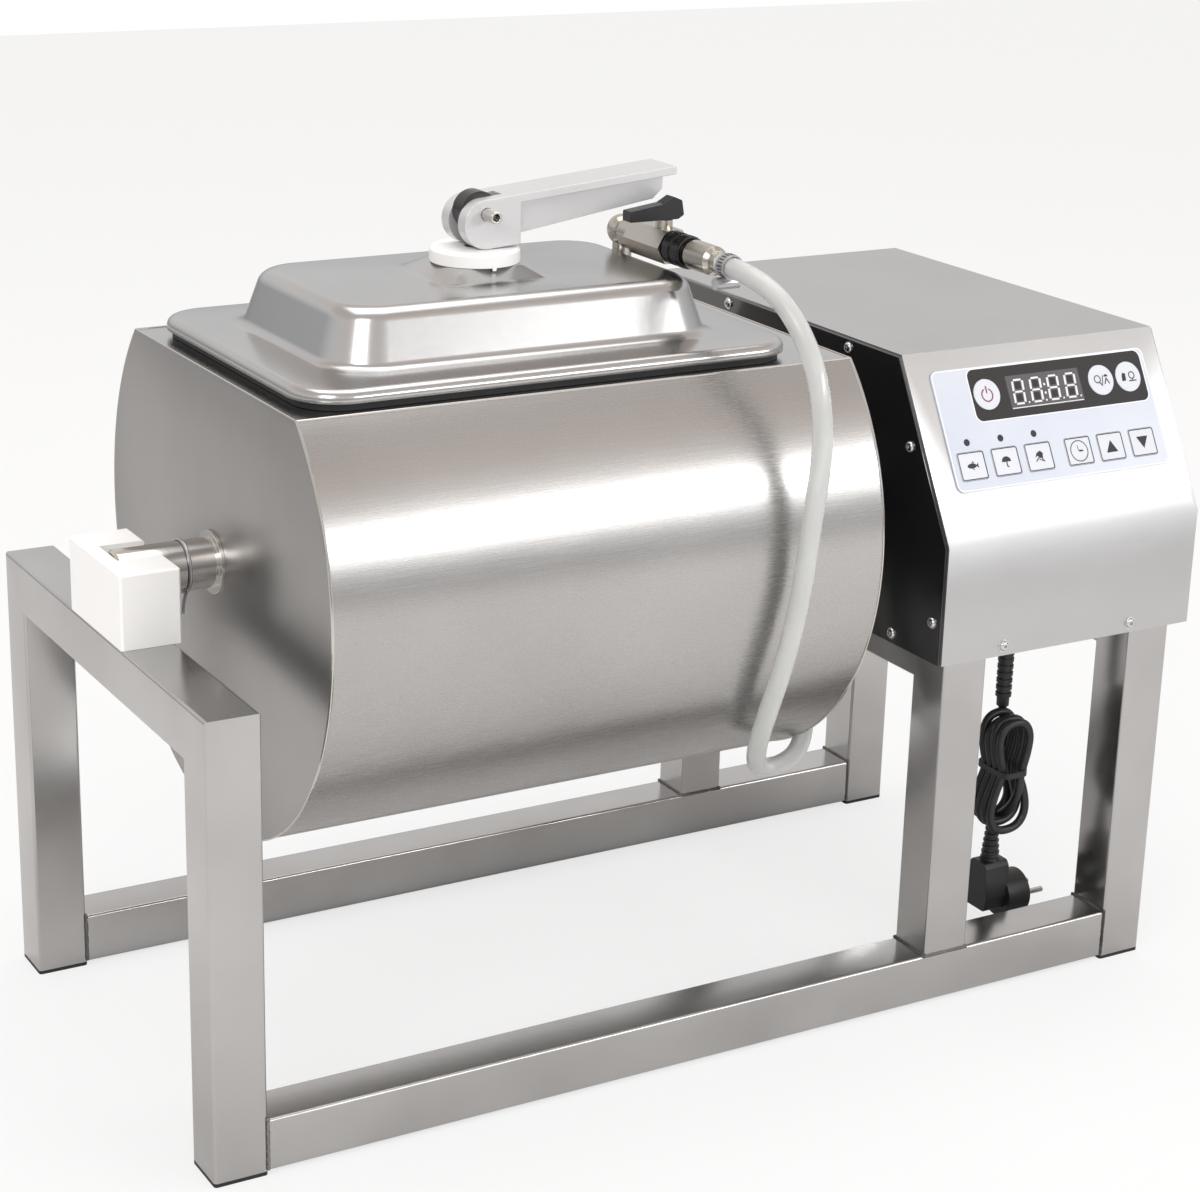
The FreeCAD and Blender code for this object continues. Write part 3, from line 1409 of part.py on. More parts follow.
def cord_hank():
    """The outer shape of the tied hank of spare lead."""
    top = relief_tip - d.hank_drop
    stations = [(0.0, 7, 6), (0.08, 13, 10), (0.3, 17, 13), (0.5, 11, 9), (0.62, 17, 13),
                (0.85, 21, 14), (1.0, 10, 8)]
    rings = []
    for share, wide, deep in stations:
        ring = Part.Ellipse(Vector(0, 0, 0), wide, deep).toShape()
        shift = 6 * math.sin(math.pi * share)
        height = top.value - d.hank_length.value * share
        ring.translate(Vector(cord_x.value - shift, -d.cord_y.value, height))
        rings.append(Part.Wire([ring]))
    item = doc.addObject("Part::Feature", "cord_hank")
    item.Shape = Part.makeLoft(rings, True, True)
    return item


def mains_plug():
    """The moulded angled plug with its ribbed strain relief."""
    neck = new_body("plug_neck", plug_x, -d.cord_y, d.plug_top)
    half = new_sketch(neck, "XZ_Plane")
    wide = 8.0
    ribs = [(0, -4), (wide, -4)]
    for rib in range(PLUG_RIBS):
        step = d.plug_rib * (rib + 1)
        ribs += [(wide, step - d.plug_rib / 2), (wide - 1.6, step - d.plug_rib / 2),
                 (wide - 1.6, step)]
        wide -= 0.5
        ribs.append((wide, step))
    ribs[-1] = (d.cord_radius + 0.5, step)
    outline(half, ribs + [(0, step)])
    revolve(neck, half, "Z_Axis")
    shell = new_body("plug_shell", plug_x, -d.cord_y, d.plug_bottom)
    front = new_sketch(shell, "YZ_Plane")
    high = d.plug_top - d.plug_bottom
    outline(front, [(-12, 0), (12, 0), (14, 12), (11, high - 4), (8, high), (-8, high),
                    (-11, high - 4), (-14, 12)])
    pad(shell, front, d.plug_thickness, both=True)
    edge_fillet(shell, 3, lambda e: runs_along(e, "X"))
    disc = cylinder("plug_disc", d.plug_disc, d.plug_face - 9, plug_x + 9, -d.cord_y, d.plug_pin_z,
                    "X")
    return fuse("mains_plug", neck, shell, disc)


def plug_pins():
    pins = []
    for side in (-1, 1):
        pins.append(cylinder("pin_%d" % (side + 1), 2.4, 19, plug_x + d.plug_face,
                             side * 9.5 - d.cord_y, d.plug_pin_z, "X"))
    return group("plug_pins", pins)


def make_drive_box():
    drills = make_screws()
    housing_cover(drills)
    side_plate("drum_side_plate", box_left, drills, drum_side_holes())
    side_plate("end_side_plate", box_right - d.side_sheet, drills, [])
    base_tray(drills)
    make_panel()
    gear_motor()
    motor_bracket()
    drive_fork()
    vacuum_port()
    vacuum_pump()
    air_tube()
    cord_gland()
    power_cord()
    cord_hank()
    mains_plug()
    plug_pins()


NODES = """left_posts cross_rails bottom_rails inner_legs outer_legs foot_caps bearing_block
block_screws drum_shell drum_top_plate drum_end_left drum_end_right drum_baffles stub_shaft
shaft_ring drum_tang drive_fork lid_pan lid_gasket thrust_puck clamp_stud clamp_bar cam_lever
lever_pin vacuum_elbow valve_body valve_ball valve_handle coupler_body coupler_sleeve hose_clamp
vacuum_hose housing_cover drum_side_plate end_side_plate base_tray housing_screws control_overlay
display_window power_key mode_key light_key programme_key_1 programme_key_2 programme_key_3
timer_key up_key down_key indicator_lamps control_board gear_motor motor_bracket vacuum_port
vacuum_pump air_tube cord_gland power_cord cord_hank mains_plug plug_pins""".split()


def check_document():
    """Stop on any failed object or bad shape before a file is written."""
    for item in doc.Objects:
        if "Invalid" in item.State or "Error" in item.State:
            raise RuntimeError("%s is %s" % (item.Label, item.State))
    for name in NODES:
        shape = by_label(name).Shape
        if shape.isNull() or not shape.isValid() or not shape.Solids:
            raise RuntimeError("%s has no valid solid" % name)


def by_label(name):
    return doc.getObjectsByLabel(name)[0]


def write_parts():
    os.makedirs("parts", exist_ok=True)
    for name in NODES:
        shape = by_label(name).Shape
        shape.exportStep("parts/%s.step" % name)


make_frame()
bearing_block()
block_screws()
make_drum()
make_lid()
make_drive_box()
doc.recompute()
check_document()
write_parts()
print(len(NODES), "nodes written")
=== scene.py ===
"""Visual model of a vacuum tumbler for meat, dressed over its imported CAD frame."""
import json
import logging
import math
from dataclasses import dataclass, field
from enum import Enum
from typing import Callable, Iterable, Sequence

import bmesh
import bpy
from mathutils import Matrix, Vector
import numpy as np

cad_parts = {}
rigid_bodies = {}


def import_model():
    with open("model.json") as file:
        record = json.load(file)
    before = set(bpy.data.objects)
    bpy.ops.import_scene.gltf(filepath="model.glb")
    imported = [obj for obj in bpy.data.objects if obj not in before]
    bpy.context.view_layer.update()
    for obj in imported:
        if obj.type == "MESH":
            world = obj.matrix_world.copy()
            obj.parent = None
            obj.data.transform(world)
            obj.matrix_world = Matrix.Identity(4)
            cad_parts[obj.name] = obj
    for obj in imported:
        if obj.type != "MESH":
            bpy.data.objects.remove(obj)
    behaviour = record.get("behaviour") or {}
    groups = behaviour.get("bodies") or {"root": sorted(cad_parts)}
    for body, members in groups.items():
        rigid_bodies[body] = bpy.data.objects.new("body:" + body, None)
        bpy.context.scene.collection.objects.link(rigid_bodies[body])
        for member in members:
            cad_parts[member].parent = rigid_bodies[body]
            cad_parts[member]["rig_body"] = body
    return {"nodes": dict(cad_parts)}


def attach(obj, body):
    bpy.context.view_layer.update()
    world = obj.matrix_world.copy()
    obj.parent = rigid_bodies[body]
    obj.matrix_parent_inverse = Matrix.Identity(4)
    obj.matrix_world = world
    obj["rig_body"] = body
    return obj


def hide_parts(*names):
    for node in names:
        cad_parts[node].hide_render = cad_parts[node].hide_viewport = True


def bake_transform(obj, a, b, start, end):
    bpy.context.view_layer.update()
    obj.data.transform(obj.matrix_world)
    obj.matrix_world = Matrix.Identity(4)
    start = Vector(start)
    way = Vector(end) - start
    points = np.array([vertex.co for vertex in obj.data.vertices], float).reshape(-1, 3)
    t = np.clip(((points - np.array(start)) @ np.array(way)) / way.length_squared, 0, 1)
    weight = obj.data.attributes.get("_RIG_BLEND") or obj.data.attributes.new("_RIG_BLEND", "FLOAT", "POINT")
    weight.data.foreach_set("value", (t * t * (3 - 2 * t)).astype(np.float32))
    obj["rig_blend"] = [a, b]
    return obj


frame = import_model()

LOG = logging.getLogger("tumbler")
MM = 0.001
Outline = list[tuple[float, float]]
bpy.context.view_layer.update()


class Grain(Enum):
    """The direction in which a steel sheet or tube was brushed."""

    ALONG_X = (6.0, 260.0, 260.0)
    ALONG_Y = (260.0, 6.0, 260.0)
    ALONG_Z = (260.0, 260.0, 6.0)
    NONE = (60.0, 60.0, 60.0)


class Axis(Enum):
    """A row axis that a turned piece lies along."""

    X = 0
    Y = 1
    Z = 2


# ---------------------------------------------------------------- finishes


@dataclass(frozen=True)
class Finish:
    """A plain finish: one colour with fine mottling, gloss variation and bump."""

    name: str
    colour: tuple[float, float, float]
    roughness: float = 0.45
    metallic: float = 0.0
    mottle: float = 0.06
    bump: float = 0.05
    grain: Grain = Grain.NONE
    coat: float = 0.0
    second: tuple[float, float, float] | None = None

    def material(self) -> bpy.types.Material:
        """The finish as a material, made once.

        Returns:
            The material, whose patterns read Object coordinates.
        """
        found = bpy.data.materials.get(self.name)
        if found:
            return found
        material = bpy.data.materials.new(self.name)
        material.use_nodes = True
        nodes = material.node_tree.nodes
        shader = nodes["Principled BSDF"]
        shader.inputs["Metallic"].default_value = self.metallic
        shader.inputs["Coat Weight"].default_value = self.coat
        shader.inputs["Coat Roughness"].default_value = 0.08
        self._colour(material, shader)
        self._surface(material, shader)
        self._extra(material, shader)
        return material

    def _noise(self, material: bpy.types.Material, scale: Sequence[float],
               detail: float) -> bpy.types.Node:
        """A noise pattern on Object coordinates.

        Args:
            material: the material to add it to.
            scale: how often it repeats per metre along each axis.
            detail: how many finer octaves it has.

        Returns:
            The noise node.
        """
        nodes, links = material.node_tree.nodes, material.node_tree.links
        place = nodes.new("ShaderNodeTexCoord")
        mapping = nodes.new("ShaderNodeMapping")
        mapping.inputs["Scale"].default_value = tuple(scale)
        noise = nodes.new("ShaderNodeTexNoise")
        noise.inputs["Scale"].default_value = 1.0
        noise.inputs["Detail"].default_value = detail
        links.new(place.outputs["Object"], mapping.inputs["Vector"])
        links.new(mapping.outputs["Vector"], noise.inputs["Vector"])
        return noise

    def _colour(self, material: bpy.types.Material, shader: bpy.types.Node) -> None:
        """Mottle the base colour towards the second colour.

        Args:
            material: the material.
            shader: its surface shader.
        """
        nodes, links = material.node_tree.nodes, material.node_tree.links
        noise = self._noise(material, (9.0, 9.0, 9.0), 3.0)
        other = self.second or tuple(c * (1.0 - self.mottle) for c in self.colour)
        mix = nodes.new("ShaderNodeMix")
        mix.data_type = "RGBA"
        mix.inputs["A"].default_value = (*self.colour, 1.0)
        mix.inputs["B"].default_value = (*other, 1.0)
        spread = nodes.new("ShaderNodeMapRange")
        spread.inputs["From Min"].default_value = 0.35
        spread.inputs["From Max"].default_value = 0.65
        links.new(noise.outputs["Fac"], spread.inputs["Value"])
        links.new(spread.outputs["Result"], mix.inputs["Factor"])
        links.new(mix.outputs["Result"], shader.inputs["Base Color"])

    def _surface(self, material: bpy.types.Material, shader: bpy.types.Node) -> None:
        """Vary the roughness along the grain and add its fine relief.

        Args:
            material: the material.
            shader: its surface shader.
        """
        nodes, links = material.node_tree.nodes, material.node_tree.links
        noise = self._noise(material, [v * 4.0 for v in self.grain.value], 5.0)
        rough = nodes.new("ShaderNodeMapRange")
        rough.inputs["To Min"].default_value = self.roughness * 0.86
        rough.inputs["To Max"].default_value = self.roughness * 1.14
        links.new(noise.outputs["Fac"], rough.inputs["Value"])
        links.new(rough.outputs["Result"], shader.inputs["Roughness"])
        bump = nodes.new("ShaderNodeBump")
        bump.inputs["Strength"].default_value = self.bump
        bump.inputs["Distance"].default_value = 0.0004
        links.new(noise.outputs["Fac"], bump.inputs["Height"])
        links.new(bump.outputs["Normal"], shader.inputs["Normal"])

    def _extra(self, material: bpy.types.Material, shader: bpy.types.Node) -> None:
        """Nothing more on a plain finish."""


@dataclass(frozen=True)
class ClearHose(Finish):
    """Milky clear tubing that lets some light through."""

    transmission: float = 0.55

    def _extra(self, material: bpy.types.Material, shader: bpy.types.Node) -> None:
        """Let light through the wall."""
        shader.inputs["Transmission Weight"].default_value = self.transmission
        shader.inputs["IOR"].default_value = 1.42


FRAME_STEEL = Finish("polished_tube_steel", (0.50, 0.495, 0.49), 0.20, 1.0, 0.10, 0.015,
                     Grain.ALONG_X, second=(0.44, 0.435, 0.43))
SHELL_STEEL = Finish("satin_drum_steel", (0.47, 0.462, 0.452), 0.27, 1.0, 0.05, 0.02,
                     Grain.ALONG_X, second=(0.44, 0.43, 0.42))
DISC_STEEL = Finish("drum_end_steel", (0.36, 0.355, 0.35), 0.33, 1.0, 0.06, 0.015,
                    Grain.ALONG_Z)
LID_STEEL = Finish("pressed_lid_steel", (0.50, 0.495, 0.49), 0.22, 1.0, 0.05, 0.01)
COVER_STEEL = Finish("brushed_cover_steel", (0.52, 0.52, 0.52), 0.36, 1.0, 0.04, 0.02,
                     Grain.ALONG_X)
BRIGHT_STEEL = Finish("bright_turned_steel", (0.62, 0.60, 0.57), 0.13, 1.0, 0.05, 0.01)
ZINC = Finish("zinc_plate", (0.50, 0.50, 0.51), 0.32, 1.0, 0.10, 0.06)
WELD = Finish("weld_bead", (0.26, 0.245, 0.23), 0.38, 1.0, 0.3, 0.3, second=(0.05, 0.05, 0.05))
SCREW_STEEL = Finish("screw_steel", (0.62, 0.62, 0.62), 0.14, 1.0, 0.05, 0.01)
DARK_STEEL = Finish("blackened_steel", (0.07, 0.07, 0.072), 0.30, 1.0, 0.15, 0.04)
NICKEL = Finish("nickel_plated_brass", (0.50, 0.47, 0.42), 0.24, 1.0, 0.10, 0.02)
CASTING = Finish("cast_aluminium", (0.66, 0.66, 0.665), 0.40, 0.55, 0.05, 0.05)
NYLON = Finish("white_nylon", (0.86, 0.86, 0.85), 0.42, 0.0, 0.03, 0.05)
GASKET = Finish("black_gasket_rubber", (0.012, 0.012, 0.013), 0.55, 0.0, 0.2, 0.15)
RUBBER = Finish("black_cord_rubber", (0.014, 0.014, 0.015), 0.42, 0.0, 0.2, 0.08)
BLACK_GRIP = Finish("black_grip_vinyl", (0.013, 0.013, 0.014), 0.36, 0.0, 0.2, 0.10)
PLATE_BLACK = Finish("gloss_black_plate", (0.012, 0.012, 0.013), 0.16, 0.0, 0.3, 0.01, coat=0.8)
OVERLAY = Finish("silver_blue_overlay", (0.56, 0.60, 0.68), 0.34, 0.1, 0.05, 0.01,
                 second=(0.62, 0.655, 0.72))
WINDOW = Finish("gloss_black_window", (0.010, 0.010, 0.012), 0.12, 0.0, 0.2, 0.005, coat=0.6)
KEY_FACE = Finish("pale_key_face", (0.66, 0.68, 0.73), 0.36, 0.0, 0.04, 0.01)
INK = Finish("dark_ink", (0.015, 0.016, 0.022), 0.5, 0.0, 0.1, 0.01)
PALE_INK = Finish("pale_ink", (0.86, 0.87, 0.88), 0.5, 0.0, 0.04, 0.01)
RED_INK = Finish("maroon_ink", (0.20, 0.035, 0.06), 0.5, 0.0, 0.1, 0.01)
GLASS_GREY = Finish("display_face", (0.085, 0.085, 0.09), 0.2, 0.0, 0.1, 0.01, coat=0.5)
SEGMENT = Finish("display_segment", (0.74, 0.74, 0.76), 0.4, 0.0, 0.05, 0.01)
BOARD = Finish("circuit_board", (0.02, 0.12, 0.06), 0.45, 0.0, 0.3, 0.05)
MOTOR_PAINT = Finish("motor_paint", (0.10, 0.105, 0.11), 0.42, 0.0, 0.1, 0.1)
HOSE = ClearHose("clear_hose_vinyl", (0.90, 0.91, 0.90), 0.12, 0.0, 0.03, 0.01,
                 second=(0.82, 0.83, 0.82))


# ------------------------------------------------------------ mesh workshop


class Workshop:
    """Makes finished meshes in the row frame from sizes in millimetres."""

    @staticmethod
    def mesh(name: str, points: Iterable[Sequence[float]], faces: Iterable[Sequence[int]],
             finish: Finish, sharp: float = 32.0, scale: float = MM) -> bpy.types.Object:
        """A mesh object at the origin with its finish on.

        Args:
            name: the piece's name.
            points: the corners.
            faces: the corner numbers of each face.
            finish: what it is dressed in.
            sharp: the angle in degrees above which an edge stays sharp.
            scale: metres in one unit of the points.

        Returns:
            The new object.
        """
        data = bpy.data.meshes.new(name)
        data.from_pydata([tuple(v * scale for v in p) for p in points], [], list(faces))
        form = bmesh.new()
        form.from_mesh(data)
        bmesh.ops.remove_doubles(form, verts=form.verts, dist=2e-6)
        bmesh.ops.recalc_face_normals(form, faces=form.faces)
        form.to_mesh(data)
        form.free()
        return Workshop.finished(name, data, finish, sharp)

    @staticmethod
    def finished(name: str, data: bpy.types.Mesh, finish: Finish,
                 sharp: float = 32.0) -> bpy.types.Object:
        """An object for a mesh, smooth below an edge angle.

        Args:
            name: the piece's name.
            data: its mesh.
            finish: what it is dressed in.
            sharp: the angle in degrees above which an edge stays sharp.

        Returns:
            The new object.
        """
        data.shade_smooth()
        data.set_sharp_from_angle(angle=math.radians(sharp))
        data.materials.clear()
        data.materials.append(finish.material())
        piece = bpy.data.objects.new(name, data)
        bpy.context.scene.collection.objects.link(piece)
        return piece

    @staticmethod
    def rings(rings: Sequence[Sequence[Sequence[float]]], capped: bool = True,
              closed: bool = True) -> tuple[list, list]:
        """Corners and faces that join equal rings into a skin.

        Args:
            rings: rings with the same number of points.
            capped: whether the first and last ring are filled.
            closed: whether each ring joins up.

        Returns:
            The points and the faces.
        """
        count = len(rings[0])
        points = [tuple(p) for ring in rings for p in ring]
        faces = []
        span = count if closed else count - 1
        for row in range(len(rings) - 1):
            for i in range(span):
                j = (i + 1) % count
                base, above = row * count, (row + 1) * count
                faces.append((base + i, base + j, above + j, above + i))
        if capped:
            faces.append(tuple(range(count - 1, -1, -1)))
            faces.append(tuple(range((len(rings) - 1) * count, len(rings) * count)))
        return points, faces

    @staticmethod
    def turned(name: str, profile: Outline, centre: Sequence[float], axis: Axis, finish: Finish,
               sides: int = 64, sharp: float = 32.0) -> bpy.types.Object:
        """A piece of revolution.

        Args:
            name: the piece's name.
            profile: closed outline of radius and distance along the axis.
            centre: the point that distances are counted from.
            axis: the axis that it turns about.
            finish: what it is dressed in.
            sides: how many flats stand for the circle.
            sharp: the angle in degrees above which an edge stays sharp.

        Returns:
            The new object.
        """
        first = (axis.value + 1) % 3
        second = (axis.value + 2) % 3
        rings = []
        for i in range(sides):
            angle = math.tau * i / sides
            ring = []
            for radius, along in profile:
                spot = list(centre)
                spot[axis.value] += along
                spot[first] += radius * math.cos(angle)
                spot[second] += radius * math.sin(angle)
                ring.append(tuple(spot))
            rings.append(ring)
        points, faces = Workshop.rings(rings + [rings[0]], capped=False)
        return Workshop.mesh(name, points, faces, finish, sharp)

    @staticmethod
    def tube(path: Sequence[Vector], radius: float, sides: int = 20,
             bore: float = 0.0) -> tuple[list, list]:
        """The skin of a round tube along a path.

        Args:
            path: closely spaced points.
            radius: its outer radius.
            sides: how many flats stand for the circle.
            bore: its inner radius, or 0 for a solid one.

        Returns:
            The points and the faces.
        """
        side = (path[1] - path[0]).orthogonal().normalized()
        outer, inner = [], []
        for i, spot in enumerate(path):
            ahead = path[min(i + 1, len(path) - 1)] - path[max(i - 1, 0)]
            ahead.normalize()
            side = (side - ahead * side.dot(ahead)).normalized()
            up = ahead.cross(side)
            spin = [math.tau * k / sides for k in range(sides)]
            outer.append([spot + (side * math.cos(a) + up * math.sin(a)) * radius for a in spin])
            inner.append([spot + (side * math.cos(a) + up * math.sin(a)) * bore for a in spin])
        if bore <= 0.0:
            return Workshop.rings(outer)
        loop = outer + inner[::-1] + [outer[0]]
        return Workshop.rings(loop, capped=False)

    @staticmethod
    def prism(outline: Outline, low: float, high: float,
              place: Callable[[float, float, float], Sequence[float]]) -> tuple[list, list]:
        """A flat outline given thickness, put in place by a mapping.

        Args:
            outline: its corners, in order.
            low: height of its underside.
            high: height of its face.
            place: maps across, up and height to a point.

        Returns:
            The points and the faces.
        """
        rings = [[place(x, y, h) for x, y in outline] for h in (low, high)]
        return Workshop.rings(rings)

    @staticmethod
    def joined(parts: Sequence[tuple[list, list]]) -> tuple[list, list]:
        """Several skins as one.

        Args:
            parts: points and faces of each.

        Returns:
            The points and the faces of all of them.
        """
        points, faces = [], []
        for some_points, some_faces in parts:
            base = len(points)
            points += some_points
            faces += [tuple(base + i for i in face) for face in some_faces]
        return points, faces

    @staticmethod
    def skin_of(node: str, finish: Finish, bevel: float = 0.0,
                sharp: float = 30.0) -> bpy.types.Object:
        """A welded, smooth copy of a CAD node that stands for it.

        Args:
            node: the CAD node.
            finish: what it is dressed in.
            bevel: width in millimetres of the softened edges.
            sharp: the angle in degrees above which an edge counts as one.

        Returns:
            The new object, riding on the node's body.
        """
        source = frame["nodes"][node]
        data = source.data.copy()
        form = bmesh.new()
        form.from_mesh(data)
        bmesh.ops.remove_doubles(form, verts=form.verts, dist=4e-6)
        bmesh.ops.dissolve_limit(form, angle_limit=math.radians(0.6), verts=form.verts,
                                 edges=form.edges)
        form.to_mesh(data)
        form.free()
        for layer in list(data.attributes):
            if layer.name == "custom_normal":
                data.attributes.remove(layer)
        piece = Workshop.finished(node + "_dressed", data, finish, sharp)
        if bevel > 0.0:
            edge = piece.modifiers.new("soft_edges", "BEVEL")
            edge.width = bevel * MM
            edge.segments = 2
            edge.limit_method = "ANGLE"
            edge.angle_limit = math.radians(sharp)
            edge.use_clamp_overlap = True
            edge.harden_normals = True
        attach(piece, source["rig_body"])
        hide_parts(node)
        return piece

    @staticmethod
    def spline(name: str, route: Sequence[Sequence[float]]) -> list[Vector]:
        """Points read from the smooth curve that a route controls.

        Args:
            name: the curve's name.
            route: its control points.

        Returns:
            Closely spaced points from the first control point to the last.
        """
        curve = bpy.data.curves.new(name + "_route", "CURVE")
        curve.dimensions = "3D"
        line = curve.splines.new("NURBS")
        line.points.add(len(route) - 1)
        for knot, spot in zip(line.points, route):
            knot.co = (*(v * MM for v in spot), 1.0)
        line.order_u = 3
        line.use_endpoint_u = True
        line.resolution_u = 10
        carrier = bpy.data.objects.new(name + "_route", curve)
        bpy.context.scene.collection.objects.link(carrier)
        bpy.context.view_layer.update()
        graph = bpy.context.evaluated_depsgraph_get()
        data = bpy.data.meshes.new_from_object(carrier.evaluated_get(graph), depsgraph=graph)
        path = [Vector(v.co) / MM for v in data.vertices]
        bpy.data.objects.remove(carrier)
        bpy.data.meshes.remove(data)
        return path


def rounded_rectangle(length: float, width: float, corner: float, steps: int = 8,
                      centre: tuple[float, float] = (0.0, 0.0)) -> Outline:
    """The outline of a rounded rectangle.

    Args:
        length: its size across.
        width: its size up.
        corner: its corner radius.
        steps: points on each corner, less one.
        centre: its middle.

    Returns:
        The corners, anticlockwise.
    """
    outline = []
    for number, (sx, sy) in enumerate(((1, 1), (-1, 1), (-1, -1), (1, -1))):
        for k in range(steps + 1):
            angle = math.pi / 2 * (number + k / steps)
            outline.append((centre[0] + sx * (length / 2 - corner) + corner * math.cos(angle),
                            centre[1] + sy * (width / 2 - corner) + corner * math.sin(angle)))
    return outline


def ribbon(line: Outline, width: float, closed: bool = False) -> list[Outline]:
    """A drawn line as short filled pieces.

    Args:
        line: the points that it passes.
        width: how broad it is.
        closed: whether it returns to its start.

    Returns:
        One outline for each stretch.
    """
    ends = list(zip(line, line[1:] + line[:1])) if closed else list(zip(line, line[1:]))
    pieces = []
    for (x1, y1), (x2, y2) in ends:
        reach = math.hypot(x2 - x1, y2 - y1) or 1.0
        ox, oy = (y1 - y2) / reach * width / 2, (x2 - x1) / reach * width / 2
        ex, ey = (x2 - x1) / reach * width / 3, (y2 - y1) / reach * width / 3
        pieces.append([(x1 - ex - ox, y1 - ey - oy), (x2 + ex - ox, y2 + ey - oy),
                       (x2 + ex + ox, y2 + ey + oy), (x1 - ex + ox, y1 - ey + oy)])
    return pieces


def arc(x: float, y: float, radius: float, start: float, end: float, steps: int = 20,
        squash: float = 1.0) -> Outline:
    """Points on an arc.

    Args:
        x: its centre across.
        y: its centre up.
        radius: its radius.
        start: first angle in degrees.
        end: last angle in degrees.
        steps: points, less one.
        squash: height as a share of width.

    Returns:
        The points in order.
    """
    angles = [math.radians(start + (end - start) * k / steps) for k in range(steps + 1)]
    return [(x + radius * math.cos(a), y + radius * squash * math.sin(a)) for a in angles]


# ----------------------------------------------------------- repeated pieces


class RepeatTree:
    """Geometry Nodes that set one template on every point of a carrier."""

    def __init__(self, finish: Finish) -> None:
        """Build the node tree.

        Args:
            finish: what every copy is dressed in.
        """
        self.tree = bpy.data.node_groups.new("repeat_" + finish.name, "GeometryNodeTree")
        face = self.tree.interface
        face.new_socket("Points", in_out="INPUT", socket_type="NodeSocketGeometry")
        self.template = face.new_socket("Template", in_out="INPUT",
                                        socket_type="NodeSocketObject")
        self.size = face.new_socket("Size", in_out="INPUT", socket_type="NodeSocketFloat")
        self.spread = face.new_socket("Turn spread", in_out="INPUT",
                                      socket_type="NodeSocketFloat")
        self.seed = face.new_socket("Seed", in_out="INPUT", socket_type="NodeSocketInt")
        face.new_socket("Pieces", in_out="OUTPUT", socket_type="NodeSocketGeometry")
        self._wire(finish)

    def _wire(self, finish: Finish) -> None:
        """Place, turn, realize and dress the copies.

        Args:
            finish: what every copy is dressed in.
        """
        nodes, links = self.tree.nodes, self.tree.links
        start = nodes.new("NodeGroupInput")
        end = nodes.new("NodeGroupOutput")
        template = nodes.new("GeometryNodeObjectInfo")
        outward = nodes.new("GeometryNodeInputNamedAttribute")
        outward.data_type = "FLOAT_VECTOR"
        outward.inputs["Name"].default_value = "outward"
        align = nodes.new("FunctionNodeAlignRotationToVector")
        align.axis = "Z"
        spin = nodes.new("FunctionNodeRandomValue")
        spin.data_type = "FLOAT"
        twist = nodes.new("FunctionNodeAxisAngleToRotation")
        twist.inputs["Axis"].default_value = (0.0, 0.0, 1.0)
        turn = nodes.new("FunctionNodeRotateRotation")
        turn.rotation_space = "LOCAL"
        place = nodes.new("GeometryNodeInstanceOnPoints")
        whole = nodes.new("GeometryNodeRealizeInstances")
        paint = nodes.new("GeometryNodeSetMaterial")
        paint.inputs["Material"].default_value = finish.material()
        links.new(start.outputs["Template"], template.inputs["Object"])
        links.new(outward.outputs["Attribute"], align.inputs["Vector"])
        links.new(start.outputs["Turn spread"], spin.inputs["Max"])
        links.new(start.outputs["Seed"], spin.inputs["Seed"])
        links.new(spin.outputs["Value"], twist.inputs["Angle"])
        links.new(align.outputs["Rotation"], turn.inputs["Rotation"])
        links.new(twist.outputs["Rotation"], turn.inputs["Rotate By"])
        links.new(start.outputs["Points"], place.inputs["Points"])
        links.new(template.outputs["Geometry"], place.inputs["Instance"])
        links.new(turn.outputs["Rotation"], place.inputs["Rotation"])
        links.new(start.outputs["Size"], place.inputs["Scale"])
        links.new(place.outputs["Instances"], whole.inputs["Geometry"])
        links.new(whole.outputs["Geometry"], paint.inputs["Geometry"])
        links.new(paint.outputs["Geometry"], end.inputs["Pieces"])

    def made(self, name: str, template: bpy.types.Object, spots: Sequence[Sequence[float]],
             outwards: Sequence[Sequence[float]], finish: Finish, size: float = 1.0,
             spread: float = 0.0) -> bpy.types.Object:
        """Run the tree and keep its result as a plain mesh.

        Args:
            name: the piece's name.
            template: the shape to repeat, removed afterwards.
            spots: where each copy goes, in millimetres.
            outwards: the way that each copy's Z axis points.
            finish: what it is dressed in.
            size: scale of each copy.
            spread: largest random turn about its own axis, in radians.

        Returns:
            The new object.
        """
        data = bpy.data.meshes.new(name + "_points")
        data.from_pydata([tuple(v * MM for v in s) for s in spots], [], [])
        arrows = data.attributes.new("outward", "FLOAT_VECTOR", "POINT")
        arrows.data.foreach_set("vector", [v for arrow in outwards for v in arrow])
        carrier = bpy.data.objects.new(name + "_carrier", data)
        bpy.context.scene.collection.objects.link(carrier)
        step = carrier.modifiers.new("repeat", "NODES")
        step.node_group = self.tree
        step[self.template.identifier] = template
        step[self.size.identifier] = size
        step[self.spread.identifier] = spread
        step[self.seed.identifier] = 7
        return _kept(name, carrier, [template], finish)


